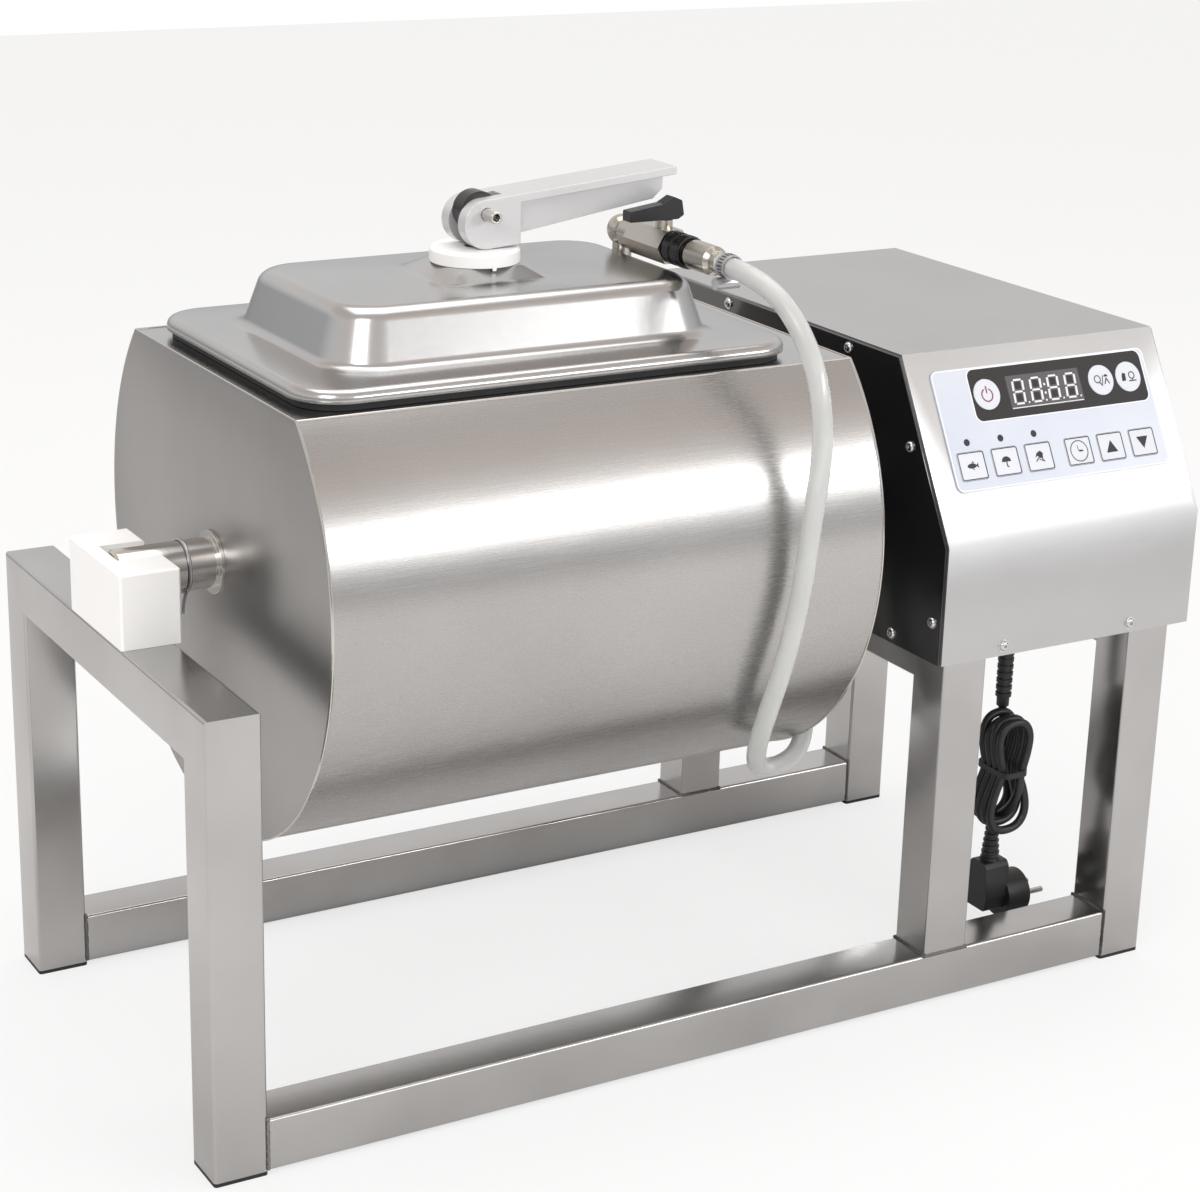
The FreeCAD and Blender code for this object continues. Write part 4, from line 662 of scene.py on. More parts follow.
class BeadTree:
    """Geometry Nodes that lay overlapping weld beads along a path."""

    def __init__(self, finish: Finish) -> None:
        """Build the node tree.

        Args:
            finish: what the beads are dressed in.
        """
        self.tree = bpy.data.node_groups.new("weld_beads", "GeometryNodeTree")
        face = self.tree.interface
        face.new_socket("Path", in_out="INPUT", socket_type="NodeSocketGeometry")
        self.pitch = face.new_socket("Pitch", in_out="INPUT", socket_type="NodeSocketFloat")
        self.radius = face.new_socket("Radius", in_out="INPUT", socket_type="NodeSocketFloat")
        self.seed = face.new_socket("Seed", in_out="INPUT", socket_type="NodeSocketInt")
        face.new_socket("Beads", in_out="OUTPUT", socket_type="NodeSocketGeometry")
        nodes, links = self.tree.nodes, self.tree.links
        start = nodes.new("NodeGroupInput")
        end = nodes.new("NodeGroupOutput")
        curve = nodes.new("GeometryNodeMeshToCurve")
        spaced = nodes.new("GeometryNodeResampleCurve")
        spaced.mode = "LENGTH"
        bead = nodes.new("GeometryNodeMeshIcoSphere")
        bead.inputs["Subdivisions"].default_value = 2
        size = nodes.new("FunctionNodeRandomValue")
        size.data_type = "FLOAT_VECTOR"
        size.inputs["Min"].default_value = (0.75, 0.75, 0.75)
        size.inputs["Max"].default_value = (1.2, 1.2, 1.2)
        place = nodes.new("GeometryNodeInstanceOnPoints")
        whole = nodes.new("GeometryNodeRealizeInstances")
        paint = nodes.new("GeometryNodeSetMaterial")
        paint.inputs["Material"].default_value = finish.material()
        links.new(start.outputs["Path"], curve.inputs["Mesh"])
        links.new(curve.outputs["Curve"], spaced.inputs["Curve"])
        links.new(start.outputs["Pitch"], spaced.inputs["Length"])
        links.new(start.outputs["Radius"], bead.inputs["Radius"])
        links.new(start.outputs["Seed"], size.inputs["Seed"])
        links.new(spaced.outputs["Curve"], place.inputs["Points"])
        links.new(bead.outputs["Mesh"], place.inputs["Instance"])
        links.new(size.outputs["Value"], place.inputs["Scale"])
        links.new(place.outputs["Instances"], whole.inputs["Geometry"])
        links.new(whole.outputs["Geometry"], paint.inputs["Geometry"])
        links.new(paint.outputs["Geometry"], end.inputs["Beads"])

    def made(self, name: str, paths: Sequence[Sequence[Sequence[float]]], finish: Finish,
             pitch: float = 2.2, radius: float = 1.9) -> bpy.types.Object:
        """Lay beads along each path.

        Args:
            name: the piece's name.
            paths: the paths, in millimetres.
            finish: what the beads are dressed in.
            pitch: distance between beads.
            radius: size of a bead.

        Returns:
            The new object.
        """
        points, edges = [], []
        for path in paths:
            base = len(points)
            points += [tuple(v * MM for v in p) for p in path]
            edges += [(base + i, base + i + 1) for i in range(len(path) - 1)]
        data = bpy.data.meshes.new(name + "_path")
        data.from_pydata(points, edges, [])
        carrier = bpy.data.objects.new(name + "_carrier", data)
        bpy.context.scene.collection.objects.link(carrier)
        step = carrier.modifiers.new("beads", "NODES")
        step.node_group = self.tree
        step[self.pitch.identifier] = pitch * MM
        step[self.radius.identifier] = radius * MM
        step[self.seed.identifier] = 11
        return _kept(name, carrier, [], finish)


def _kept(name: str, carrier: bpy.types.Object, spent: Sequence[bpy.types.Object],
          finish: Finish) -> bpy.types.Object:
    """Turn a carrier's evaluated nodes into a plain mesh object.

    Args:
        name: the piece's name.
        carrier: the object whose modifier makes the shape.
        spent: templates that are no longer needed.
        finish: what it is dressed in.

    Returns:
        The new object.
    """
    bpy.context.view_layer.update()
    graph = bpy.context.evaluated_depsgraph_get()
    data = bpy.data.meshes.new_from_object(carrier.evaluated_get(graph), depsgraph=graph)
    data.name = name
    for thing in [carrier, *spent]:
        bpy.data.objects.remove(thing)
    return Workshop.finished(name, data, finish)


# -------------------------------------------------------------- tube frame


@dataclass
class TubeFrame:
    """The welded frame of square tube with its rubber feet."""

    left: float = -420.0
    right: float = 402.0
    half_width: float = 203.0
    tube: float = 40.0
    foot: float = 3.0
    left_top: float = 343.0
    right_top: float = 306.0
    inner_leg: float = 180.0
    beads: BeadTree = field(default_factory=lambda: BeadTree(WELD))

    def build(self) -> None:
        """Dress the tubes and the feet, and weld the joints."""
        for node in ("bottom_rails", "cross_rails", "left_posts", "inner_legs", "outer_legs"):
            Workshop.skin_of(node, FRAME_STEEL)
        Workshop.skin_of("foot_caps", GASKET, 0.6)
        self._welds()
        self._vent_hole_painted_shade()
        LOG.info("tube frame: tubes, feet, welds")

    def _welds(self) -> None:
        """Beads round each rail's ends and each inner leg's foot."""
        paths = []
        low, high = self.foot + 2, self.foot + self.tube
        for side in (-1, 1):
            outer = side * self.half_width
            inner = side * (self.half_width - self.tube)
            for x in (self.left + self.tube, self.right - self.tube):
                paths.append([(x, outer, low), (x, outer, high - 1)])
                paths.append([(x, inner, low), (x, inner, high - 1)])
                paths.append([(x, outer, high), (x, inner, high)])
            for y in (outer, inner):
                paths.append([(self.inner_leg + 1, y, high),
                              (self.inner_leg + self.tube - 1, y, high)])
            for x in (self.inner_leg, self.inner_leg + self.tube):
                paths.append([(x, outer, high), (x, inner, high)])
        piece = self.beads.made("frame_welds", paths, WELD, 1.9, 1.5)
        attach(piece, "frame")

    def _vent_hole_painted_shade(self) -> None:
        """The small vent hole by the left mitre, drawn as a dark plug whose colour is painted shade inside
        the hole.
        """
        rings = [(0.0, -0.3), (2.2, -0.3), (2.2, 0.15), (1.7, 0.35), (0.0, 0.35)]
        spot = (self.left + self.tube, -self.half_width + self.tube * 0.4,
                self.left_top - self.tube - 12)
        # the dark steel on this plug is painted shade: it stands in for the shadowed inside of the hole
        piece = Workshop.turned("frame_vent", rings, spot, Axis.X, DARK_STEEL, 20)
        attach(piece, "frame")


@dataclass
class Bearing:
    """The nylon block, its screws and the drum's stub shaft."""

    shaft_z: float = 381.6
    ring_x: float = -355.0
    ring_radius: float = 19.4

    def build(self) -> None:
        """Dress the block, shaft and ring, and hang the ring's tail."""
        Workshop.skin_of("bearing_block", NYLON, 0.8)
        Workshop.skin_of("block_screws", ZINC, 0.3)
        Workshop.skin_of("stub_shaft", BRIGHT_STEEL, 0.3)
        self._ring()
        LOG.info("bearing: block, shaft, ring")

    def _ring(self) -> None:
        """A wire ring in the shaft's groove with a bent tail."""
        parts = []
        loop = []
        for k in range(73):
            angle = math.tau * k / 72
            loop.append(Vector((self.ring_x, self.ring_radius * math.cos(angle),
                                self.shaft_z + self.ring_radius * math.sin(angle))))
        parts.append(Workshop.tube(loop, 1.4, 10))
        tail = Workshop.spline("ring_tail", [(self.ring_x - 1, -12, self.shaft_z - 15.6),
                                     (self.ring_x - 3, -10, self.shaft_z - 24),
                                     (self.ring_x - 2, -7, self.shaft_z - 33)])
        parts.append(Workshop.tube(tail, 1.2, 10))
        points, faces = Workshop.joined(parts)
        piece = Workshop.mesh("shaft_wire_ring", points, faces, ZINC)
        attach(piece, "drum")
        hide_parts("shaft_ring")


# -------------------------------------------------------------------- drum


@dataclass
class Drum:
    """The rolled drum: shell, flat top, end discs, baffles and tongue."""

    left: float = -330.0
    right: float = 116.0
    axis_z: float = 381.6
    radius: float = 203.5
    flat: float = 139.5
    wall: float = 2.0
    steps: int = 200

    def build(self) -> None:
        """Build and dress the drum."""
        self._shell()
        for node in ("drum_end_left", "drum_end_right"):
            self._disc(node)
        Workshop.skin_of("drum_top_plate", LID_STEEL)
        Workshop.skin_of("drum_baffles", SHELL_STEEL, 0.4)
        Workshop.skin_of("drum_tang", BRIGHT_STEEL, 0.6)
        Workshop.skin_of("drive_fork", BRIGHT_STEEL, 0.6)
        self._edge_welds()
        LOG.info("drum: shell, discs, baffles, tongue")

    def _arc(self, radius: float) -> Outline:
        """The round part of the section, from the flat round to the flat.

        Args:
            radius: radius of the arc.

        Returns:
            Points of Y and Z, relative to the axis.
        """
        open_angle = math.acos(self.flat / radius)
        start = math.pi / 2 + open_angle
        sweep = math.tau - open_angle * 2
        angles = [start + sweep * k / self.steps for k in range(self.steps + 1)]
        return [(radius * math.cos(a), radius * math.sin(a)) for a in angles]

    def _shell(self) -> None:
        """The rolled sheet, smooth all round."""
        outer = self._arc(self.radius)
        inner = self._arc(self.radius - self.wall)[::-1]
        rings = []
        for x in (self.left + self.wall, self.right - self.wall):
            rings.append([(x, y, self.axis_z + z) for y, z in outer + inner])
        points, faces = Workshop.rings(rings)
        faces = faces[:-2]
        count = len(outer)
        for base in (0, count * 2):
            for k in range(count - 1):
                mate = count * 2 - 1 - k
                faces.append((base + k, base + k + 1, base + mate - 1, base + mate))
        piece = Workshop.mesh("rolled_shell", points, faces, SHELL_STEEL)
        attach(piece, "drum")
        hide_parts("drum_shell")

    def _disc(self, node: str) -> None:
        """An end disc with a softened rim.

        Args:
            node: the CAD node that it stands for.
        """
        outward = -1 if node.endswith("left") else 1
        face = self.left if outward < 0 else self.right
        back = face - outward * self.wall
        rings = []
        for shrink, x in ((0.0, back), (0.0, face - outward * 0.7), (0.25, face - outward * 0.2),
                          (0.8, face)):
            ring = self._section(self.radius - shrink, self.flat - shrink)
            rings.append([(x, y, self.axis_z + z) for y, z in ring])
        points, faces = Workshop.rings(rings)
        piece = Workshop.mesh(node + "_disc", points, faces, DISC_STEEL, 50.0)
        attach(piece, "drum")
        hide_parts(node)

    def _section(self, radius: float, flat: float) -> Outline:
        """The drum's closed section.

        Args:
            radius: radius of the round part.
            flat: height of the flat above the axis.

        Returns:
            Points of Y and Z, relative to the axis.
        """
        open_angle = math.acos(flat / radius)
        start = math.pi / 2 + open_angle
        sweep = math.tau - open_angle * 2
        angles = [start + sweep * k / self.steps for k in range(self.steps + 1)]
        return [(radius * math.cos(a), radius * math.sin(a)) for a in angles]

    def _edge_welds(self) -> None:
        """Polished weld ridges round both discs and along the flat's edges."""
        parts = []
        for x in (self.left + 1.2, self.right - 1.2):
            ring = [Vector((x, y, self.axis_z + z))
                    for y, z in self._section(self.radius - 0.3, self.flat - 0.3)]
            parts.append(Workshop.tube(ring + [ring[0]], 1.1, 8))
        half = math.sqrt(self.radius ** 2 - self.flat ** 2)
        for side in (-1, 1):
            ends = [Vector((x, side * (half - 0.4), self.axis_z + self.flat - 0.3))
                    for x in (self.left + 1, (self.left + self.right) / 2, self.right - 1)]
            parts.append(Workshop.tube(ends, 1.2, 8))
        points, faces = Workshop.joined(parts)
        piece = Workshop.mesh("drum_edge_welds", points, faces, BRIGHT_STEEL)
        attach(piece, "drum")


# --------------------------------------------------------------------- lid


@dataclass
class Lid:
    """The pressed lid with its gasket and thrust puck."""

    x: float = -121.0
    length: float = 394.0
    width: float = 284.0
    corner: float = 36.0
    rim_z: float = 527.0
    rim: float = 9.0
    roll: float = 6.5
    dome_length: float = 310.0
    dome_width: float = 200.0
    dome: float = 41.0
    draft: float = 13.0
    dome_corner: float = 38.0
    edge: float = 13.0
    foot: float = 8.0
    boss_foot: float = 56.0
    boss_top: float = 37.0
    boss: float = 8.0
    sheet: float = 1.6

    def build(self) -> None:
        """Build the pan and dress the rest."""
        self._pan()
        Workshop.skin_of("lid_gasket", GASKET, 0.5)
        self._puck()
        LOG.info("lid: pan, gasket, puck")

    def _profile(self) -> list[tuple[float, float, float]]:
        """The press form from the rim up to the dome's top.

        Returns:
            Shrink of the outline in length and width, and height, for each
            ring; shrink is from the flange's edge.
        """
        rings = [(0.0, self.rim_z), (0.0, self.rim_z + self.rim - self.roll)]
        top = self.rim_z + self.rim
        for k in range(1, 9):
            angle = math.pi / 2 * k / 8
            rings.append((self.roll * (1 - math.cos(angle)),
                          top - self.roll * (1 - math.sin(angle))))
        margin = (self.length - self.dome_length) / 2
        slope = math.atan2(self.dome, self.draft)
        rise = math.tan(slope / 2) * self.foot
        rings.append((margin - rise - 6, top))
        for k in range(0, 9):
            angle = slope * k / 8
            rings.append((margin - rise + self.foot * math.sin(angle),
                          top + self.foot * (1 - math.cos(angle))))
        crest = top + self.dome
        run = margin + self.draft
        reach = math.tan(slope / 2) * self.edge
        for k in range(0, 11):
            angle = slope * (1 - k / 10)
            rings.append((run + reach - self.edge * math.sin(angle),
                          crest - self.edge * (1 - math.cos(angle))))
        return rings

    def _pan(self) -> None:
        """The pressed sheet, lofted through rounded rectangles."""
        rings = []
        top = self.rim_z + self.rim
        for shrink, z in self._profile():
            rise = max(0.0, min(1.0, (shrink - 20.0) / 22.0))
            corner = (self.corner - min(shrink, 12.0) * 0.9) * (1 - rise)
            corner += (self.dome_corner - max(0.0, shrink - 42.0) * 0.55) * rise
            outline = rounded_rectangle(self.length - shrink * 2, self.width - shrink * 2,
                                        corner, 12)
            rings.append([(self.x + x, y, z) for x, y in outline])
        crest = top + self.dome
        for radius, z in ((self.boss_foot + 4, crest), (self.boss_foot + 1, crest + 0.3),
                          (self.boss_foot - 2, crest + 1.0),
                          (self.boss_top + 2, crest + self.boss - 0.6),
                          (self.boss_top - 0.5, crest + self.boss), (8.0, crest + self.boss)):
            rings.append(self._round_ring(rings[0], radius, z))
        points, faces = Workshop.rings(rings, capped=False)
        piece = Workshop.mesh("pressed_pan", points, faces, LID_STEEL, 40.0)
        wall = piece.modifiers.new("sheet", "SOLIDIFY")
        wall.thickness = self.sheet * MM
        wall.offset = -1.0
        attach(piece, "lid")
        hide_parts("lid_pan")

    def _round_ring(self, like: Sequence[Sequence[float]], radius: float,
                    z: float) -> list[tuple[float, float, float]]:
        """A circle with one point for each point of another ring.

        Args:
            like: the ring whose directions it follows.
            radius: its radius.
            z: its height.

        Returns:
            The circle's points.
        """
        ring = []
        for x, y, _ in like:
            angle = math.atan2(y * self.length / self.width, x - self.x)
            ring.append((self.x + radius * math.cos(angle), radius * math.sin(angle), z))
        return ring

    def _puck(self) -> None:
        """The white thrust disc with a small notch pin at its front."""
        piece = Workshop.skin_of("thrust_puck", NYLON, 0.7)
        notch = rounded_rectangle(3.0, 5.5, 0.8, 3)
        points, faces = Workshop.prism(notch, -0.9, 0.5,
                                       lambda a, b, h: (self.x + a - 1, -33.4 - h, 586.0 + b))
        pin = Workshop.mesh("puck_notch", points, faces, NYLON)
        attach(pin, "lid")


# ---------------------------------------------------------------- cam clamp


@dataclass
class CamClamp:
    """The stud, the cross bar and the cast cam lever on its pin."""

    x: float = -121.0
    z: float = 621.8

    def build(self) -> None:
        """Dress the clamp."""
        Workshop.skin_of("clamp_stud", DARK_STEEL, 0.6)
        Workshop.skin_of("clamp_bar", BRIGHT_STEEL, 0.8)
        Workshop.skin_of("cam_lever", CASTING, 1.3)
        Workshop.skin_of("lever_pin", BRIGHT_STEEL, 0.7)
        LOG.info("clamp: stud, bar, lever, pin")


# ------------------------------------------------------------- vacuum train


@dataclass
class VacuumTrain:
    """The elbow, ball valve, quick coupling and clear hose."""

    x: float = 25.0
    z: float = 591.0
    sleeve_front: float = -67.0
    sleeve_length: float = 24.0
    sleeve_radius: float = 12.0
    hose_radius: float = 7.5
    hose_bore: float = 5.0
    route: tuple = ((25, -108, 591), (25, -150, 591), (35, -185, 572), (46, -207, 530),
                    (46, -219, 480), (38, -221, 430), (33, -221, 380), (27, -216, 330),
                    (25, -200, 285), (32, -172, 238), (52, -142, 205), (85, -125, 193),
                    (115, -112, 198), (131, -92, 225), (134, -66, 262), (134, -44.3, 299.6))
    port: tuple = (134.0, -34.96, 316.9)

    def build(self) -> None:
        """Build the train."""
        Workshop.skin_of("vacuum_elbow", NICKEL, 0.4)
        Workshop.skin_of("valve_body", NICKEL, 0.9)
        Workshop.skin_of("valve_ball", BRIGHT_STEEL, 0.3)
        Workshop.skin_of("valve_handle", BLACK_GRIP, 1.2)
        Workshop.skin_of("coupler_body", NICKEL, 0.4)
        Workshop.skin_of("vacuum_port", NICKEL, 0.5)
        self._sleeve()
        self._hose_clamp()
        self._hose()
        LOG.info("vacuum train: valve, coupling, hose")

    def _sleeve(self) -> None:
        """The sliding collar with ridges round its ends."""
        Workshop.skin_of("coupler_sleeve", DARK_STEEL, 0.5)
        ridge = [(-0.55, -4.0), (0.55, -4.0), (0.55, 4.0), (-0.55, 4.0)]
        points, faces = Workshop.prism(ridge, -0.3, 0.45, lambda a, b, h: (a, b, h))
        template = Workshop.mesh("ridge", points, faces, DARK_STEEL)
        spots, outwards = [], []
        for row in (5.5, self.sleeve_length - 5.5):
            for k in range(30):
                angle = math.tau * k / 30
                out = (math.cos(angle), 0.0, math.sin(angle))
                spots.append((self.x + self.sleeve_radius * out[0], self.sleeve_front + 1 + row,
                              self.z + self.sleeve_radius * out[2]))
                outwards.append(out)
        piece = RepeatTree(DARK_STEEL).made("sleeve_ridges", template, spots, outwards,
                                            DARK_STEEL)
        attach(piece, "sleeve")

    def _hose_clamp(self) -> None:
        """The worm clamp with its slotted band, the slots drawn as dark marks whose colour is painted shade
        inside them.
        """
        Workshop.skin_of("hose_clamp", ZINC, 0.5)
        # each slot is a thin dark steel mark on the band: painted shade where the slot opens, not a real
        # hole
        points, faces = Workshop.prism([(-0.5, -2.6), (0.5, -2.6), (0.5, 2.6), (-0.5, 2.6)],
                                       -0.2, 0.25, lambda a, b, h: (a, b, h))
        template = Workshop.mesh("band_slot", points, faces, DARK_STEEL)
        spots, outwards = [], []
        for k in range(18):
            angle = math.radians(-60 + 300 * k / 18)
            out = (math.cos(angle), 0.0, math.sin(angle))
            spots.append((self.x + 9.0 * out[0], -118.0, self.z + 9.0 * out[2]))
            outwards.append(out)
        piece = RepeatTree(DARK_STEEL).made("clamp_slots", template, spots, outwards,
                                            DARK_STEEL)
        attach(piece, "lid")

    def _hose(self) -> None:
        """The clear hose, hung from the coupling round to the port."""
        path = Workshop.spline("clear_hose", self.route)
        points, faces = Workshop.tube(path, self.hose_radius, 28, self.hose_bore)
        piece = Workshop.mesh("clear_hose", points, faces, HOSE, 60.0)
        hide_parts("vacuum_hose")
        start, end = Vector(self.route[0]) * MM, Vector(self.route[-1]) * MM
        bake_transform(piece, "drum", "lid", start=tuple(end), end=tuple(start))


# --------------------------------------------------------------- drive box


@dataclass
class DriveBox:
    """The folded cover, side plates, screws, motor and pump."""

    left: float = 172.0
    right: float = 420.0
    front: float = -206.0
    back: float = 214.0
    bottom: float = 288.0
    top: float = 514.0

    def build(self) -> None:
        """Dress the box and drive its screws in."""
        Workshop.skin_of("housing_cover", COVER_STEEL, 0.7)
        Workshop.skin_of("drum_side_plate", PLATE_BLACK, 0.3)
        Workshop.skin_of("end_side_plate", PLATE_BLACK, 0.3)
        Workshop.skin_of("base_tray", ZINC)
        Workshop.skin_of("gear_motor", MOTOR_PAINT, 0.8)
        Workshop.skin_of("motor_bracket", ZINC)
        Workshop.skin_of("vacuum_pump", MOTOR_PAINT, 0.8)
        Workshop.skin_of("air_tube", HOSE)
        Workshop.skin_of("control_board", BOARD)
        self._screws()
        LOG.info("drive box: cover, plates, screws, motor, pump")

    def _screw_spots(self) -> tuple[list, list]:
        """Where the screws sit and which way their heads look.

        Returns:
            The spots and the directions.
        """
        plate = [(-66.0, 506.0), (107.0, 506.0), (-153.0, 448.0), (-194.0, 320.0),
                 (-144.0, 296.0), (26.75, 296.0), (166.0, 296.0), (206.0, 350.0), (206.0, 466.0)]
        spots, outwards = [], []
        for y, z in plate:
            spots += [(self.left, y, z), (self.right, y, z)]
            outwards += [(-1, 0, 0), (1, 0, 0)]
        for x in (232.78, 357.74):
            spots += [(x, self.front, 296.0), (x, self.back, 296.0)]
            outwards += [(0, -1, 0), (0, 1, 0)]
        return spots, outwards

    def _screws(self) -> None:
        """Button-head screws with hexagon sockets."""
        template = self._button_head()
        spots, outwards = self._screw_spots()
        piece = RepeatTree(SCREW_STEEL).made("button_screws", template, spots, outwards,
                                             SCREW_STEEL, 1.0, 1.0)
        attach(piece, "frame")
        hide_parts("housing_screws")

    def _button_head(self) -> bpy.types.Object:
        """One screw: shank, washer face, dome and socket.

        Returns:
            The template, its head towards +Z.
        """
        rings = []
        for radius, z in ((1.9, -7.0), (1.9, -0.1), (4.9, -0.1), (4.9, 0.5), (4.1, 0.55),
                          (4.0, 1.2), (3.5, 2.0), (2.7, 2.5), (2.1, 2.6)):
            rings.append([(radius * math.cos(math.tau * k / 24),
                           radius * math.sin(math.tau * k / 24), z) for k in range(24)])
        for z in (2.6, 1.1):
            ring = []
            for k in range(24):
                angle = math.tau * k / 24
                flat = 1.35 / math.cos((angle % (math.pi / 3)) - math.pi / 6)
                ring.append((flat * math.cos(angle), flat * math.sin(angle), z))
            rings.append(ring)
        points, faces = Workshop.rings(rings)
        return Workshop.mesh("button_head", points, faces, SCREW_STEEL, 40.0)


# ------------------------------------------------------------ control panel


class Icon(Enum):
    """Pictures on the keys."""

    POWER = "power"
    ROAST = "roast"
    BOWL = "bowl"
    FISH = "fish"
    MUSHROOM = "mushroom"
    LEAF = "leaf"
    CLOCK = "clock"
    UP = "up"
    DOWN = "down"


@dataclass
class ControlPanel:
    """The keypad on the sloping front."""

    x: float = 298.0
    edge_y: float = -132.0
    edge_z: float = 514.0
    slope: float = math.atan2(132.0, 74.0)
    sheet: float = 1.2
    key_top: float = 1.6
    round_radius: float = 12.2
    round_drop: float = 38.5
    square_drop: float = 92.0
    square_length: float = 25.0
    square_width: float = 22.0

    def at(self, x: float, y: float, height: float) -> tuple[float, float, float]:
        """A point on the slope.

        Args:
            x: distance across from the panel's middle.
            y: distance up the slope from the upper bend.
            height: distance out of the slope.

        Returns:
            The point in the row frame.
        """
        sin, cos = math.sin(self.slope), math.cos(self.slope)
        return (self.x + x, self.edge_y + y * cos - height * sin,
                self.edge_z + y * sin + height * cos)

    def build(self) -> None:
        """Dress the overlay, window and keys, and print on them."""
        Workshop.skin_of("control_overlay", OVERLAY, 0.3)
        Workshop.skin_of("display_window", WINDOW, 0.3)
        Workshop.skin_of("indicator_lamps", INK, 0.2)
        self._borders()
        self._display()
        self._round_keys()
        self._square_keys()
        LOG.info("control panel: overlay, display, nine keys")

    def _print(self, name: str, outlines: Sequence[Outline], height: float, finish: Finish,
               body: str, centre: tuple[float, float] = (0.0, 0.0),
               thick: float = 0.12) -> None:
        """Print filled outlines on the panel.

        Args:
            name: the piece's name.
            outlines: outlines round the centre.
            height: height of the face printed on.
            finish: its ink.
            body: the body that it rides on.
            centre: place on the slope.
            thick: thickness of the ink.
        """
        parts = []
        for number, outline in enumerate(outlines):
            lift = height + thick + number * 0.0008

            def place(a: float, b: float, h: float) -> tuple[float, float, float]:
                """Put a point on the slope."""
                return self.at(centre[0] + a, centre[1] + b, h)

            parts.append(Workshop.prism(outline, height - 0.02, lift, place))
        points, faces = Workshop.joined(parts)
        piece = Workshop.mesh(name, points, faces, finish)
        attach(piece, body)

    def _borders(self) -> None:
        """Pale lines round the overlay and the window."""
        line = rounded_rectangle(206.4, 93.9, 5.4, 6, (0.0, -63.75))
        self._print("overlay_border", ribbon(line, 0.8, True), self.sheet, PALE_INK, "frame")
        line = rounded_rectangle(170.9, 41.9, 6.4, 6, (14.5, -38.5))
        self._print("window_border", ribbon(line, 0.9, True), self.sheet, PALE_INK, "frame")

    def _display(self) -> None:
        """The display's face with four digits and a colon."""
        centre = (0.0, -39.5)
        face = rounded_rectangle(71.0, 26.5, 0.8, 3)
        self._print("display_face", [face], self.sheet, GLASS_GREY, "frame",
                    centre, 0.10)
        bars, shades = [], []
        for digit in range(4):
            x = -25.5 + digit * 17.0
            bars += self._digit(x, 0.0)
            bars.append(rounded_rectangle(1.5, 1.5, 0.5, 2, (x + 7.6, -9.2)))
            for y in (4.9, -4.9):
                shades.append(rounded_rectangle(5.4, 5.6, 0.3, 2, (x + y * 0.08, y)))
        for y in (3.4, -3.4):
            bars.append(rounded_rectangle(1.7, 1.9, 0.5, 2, (0.0 + y * 0.08, y)))
        bars.append(rounded_rectangle(70.0, 0.7, 0.2, 2, (0.0, -12.6)))
        self._print("display_digits", bars, self.sheet + 0.12, SEGMENT, "frame",
                    centre, 0.10)
        self._print("display_shades", shades, self.sheet + 0.12, WINDOW, "frame",
                    centre, 0.06)

    def _digit(self, x: float, y: float) -> list[Outline]:
        """The seven segments of a figure eight.

        Args:
            x: the digit's middle across.
            y: the digit's middle up.

        Returns:
            Seven outlines.
        """
        wide, high, thick = 9.6, 9.4, 1.9
        bars = []
        for row in (-1, 0, 1):
            lean = row * high * 0.08
            half = wide / 2 - 0.9
            bars.append([(x + lean - half, y + row * high - thick / 2 + 0.2),
                         (x + lean + half, y + row * high - thick / 2 + 0.2),
                         (x + lean + half - 0.5, y + row * high + thick / 2 - 0.2),
                         (x + lean - half + 0.5, y + row * high + thick / 2 - 0.2)])
        for side in (-1, 1):
            for half_row in (-1, 0):
                low = y + half_row * high + 0.9
                top = y + (half_row + 1) * high - 0.9
                lean_low = (low - y) * 0.08
                lean_top = (top - y) * 0.08
                mid = x + side * wide / 2
                bars.append([(mid + lean_low - thick / 2, low), (mid + lean_low + thick / 2, low),
                             (mid + lean_top + thick / 2, top),
                             (mid + lean_top - thick / 2, top)])
        return bars

    def _round_keys(self) -> None:
        """The power key and the two programme keys by the display."""
        spots = {"power_key": (-56.0, Icon.POWER, RED_INK), "mode_key": (56.0, Icon.ROAST, INK),
                 "light_key": (83.5, Icon.BOWL, INK)}
        for node, (x, icon, ink) in spots.items():
            Workshop.skin_of(node, KEY_FACE, 0.35)
            self._print(node + "_icon", self._icon(icon), self.key_top, ink, node + "_pad",
                        (x, -self.round_drop))

    def _square_keys(self) -> None:
        """The lower row of six framed keys."""
        icons = {"programme_key_1": Icon.FISH, "programme_key_2": Icon.MUSHROOM,
                 "programme_key_3": Icon.LEAF, "timer_key": Icon.CLOCK, "up_key": Icon.UP,
                 "down_key": Icon.DOWN}
        places = [-85.5, -53.5, -21.5, 17.5, 49.5, 81.5]
        for (node, icon), x in zip(icons.items(), places):
            Workshop.skin_of(node, KEY_FACE, 0.35)
            centre = (x, -self.square_drop)
            line = rounded_rectangle(self.square_length - 1.3, self.square_width - 1.3, 1.4, 4)
            self._print(node + "_frame", ribbon(line, 0.7, True), self.key_top, INK,
                        node + "_pad", centre)
            self._print(node + "_icon", self._icon(icon), self.key_top, INK, node + "_pad",
                        centre)

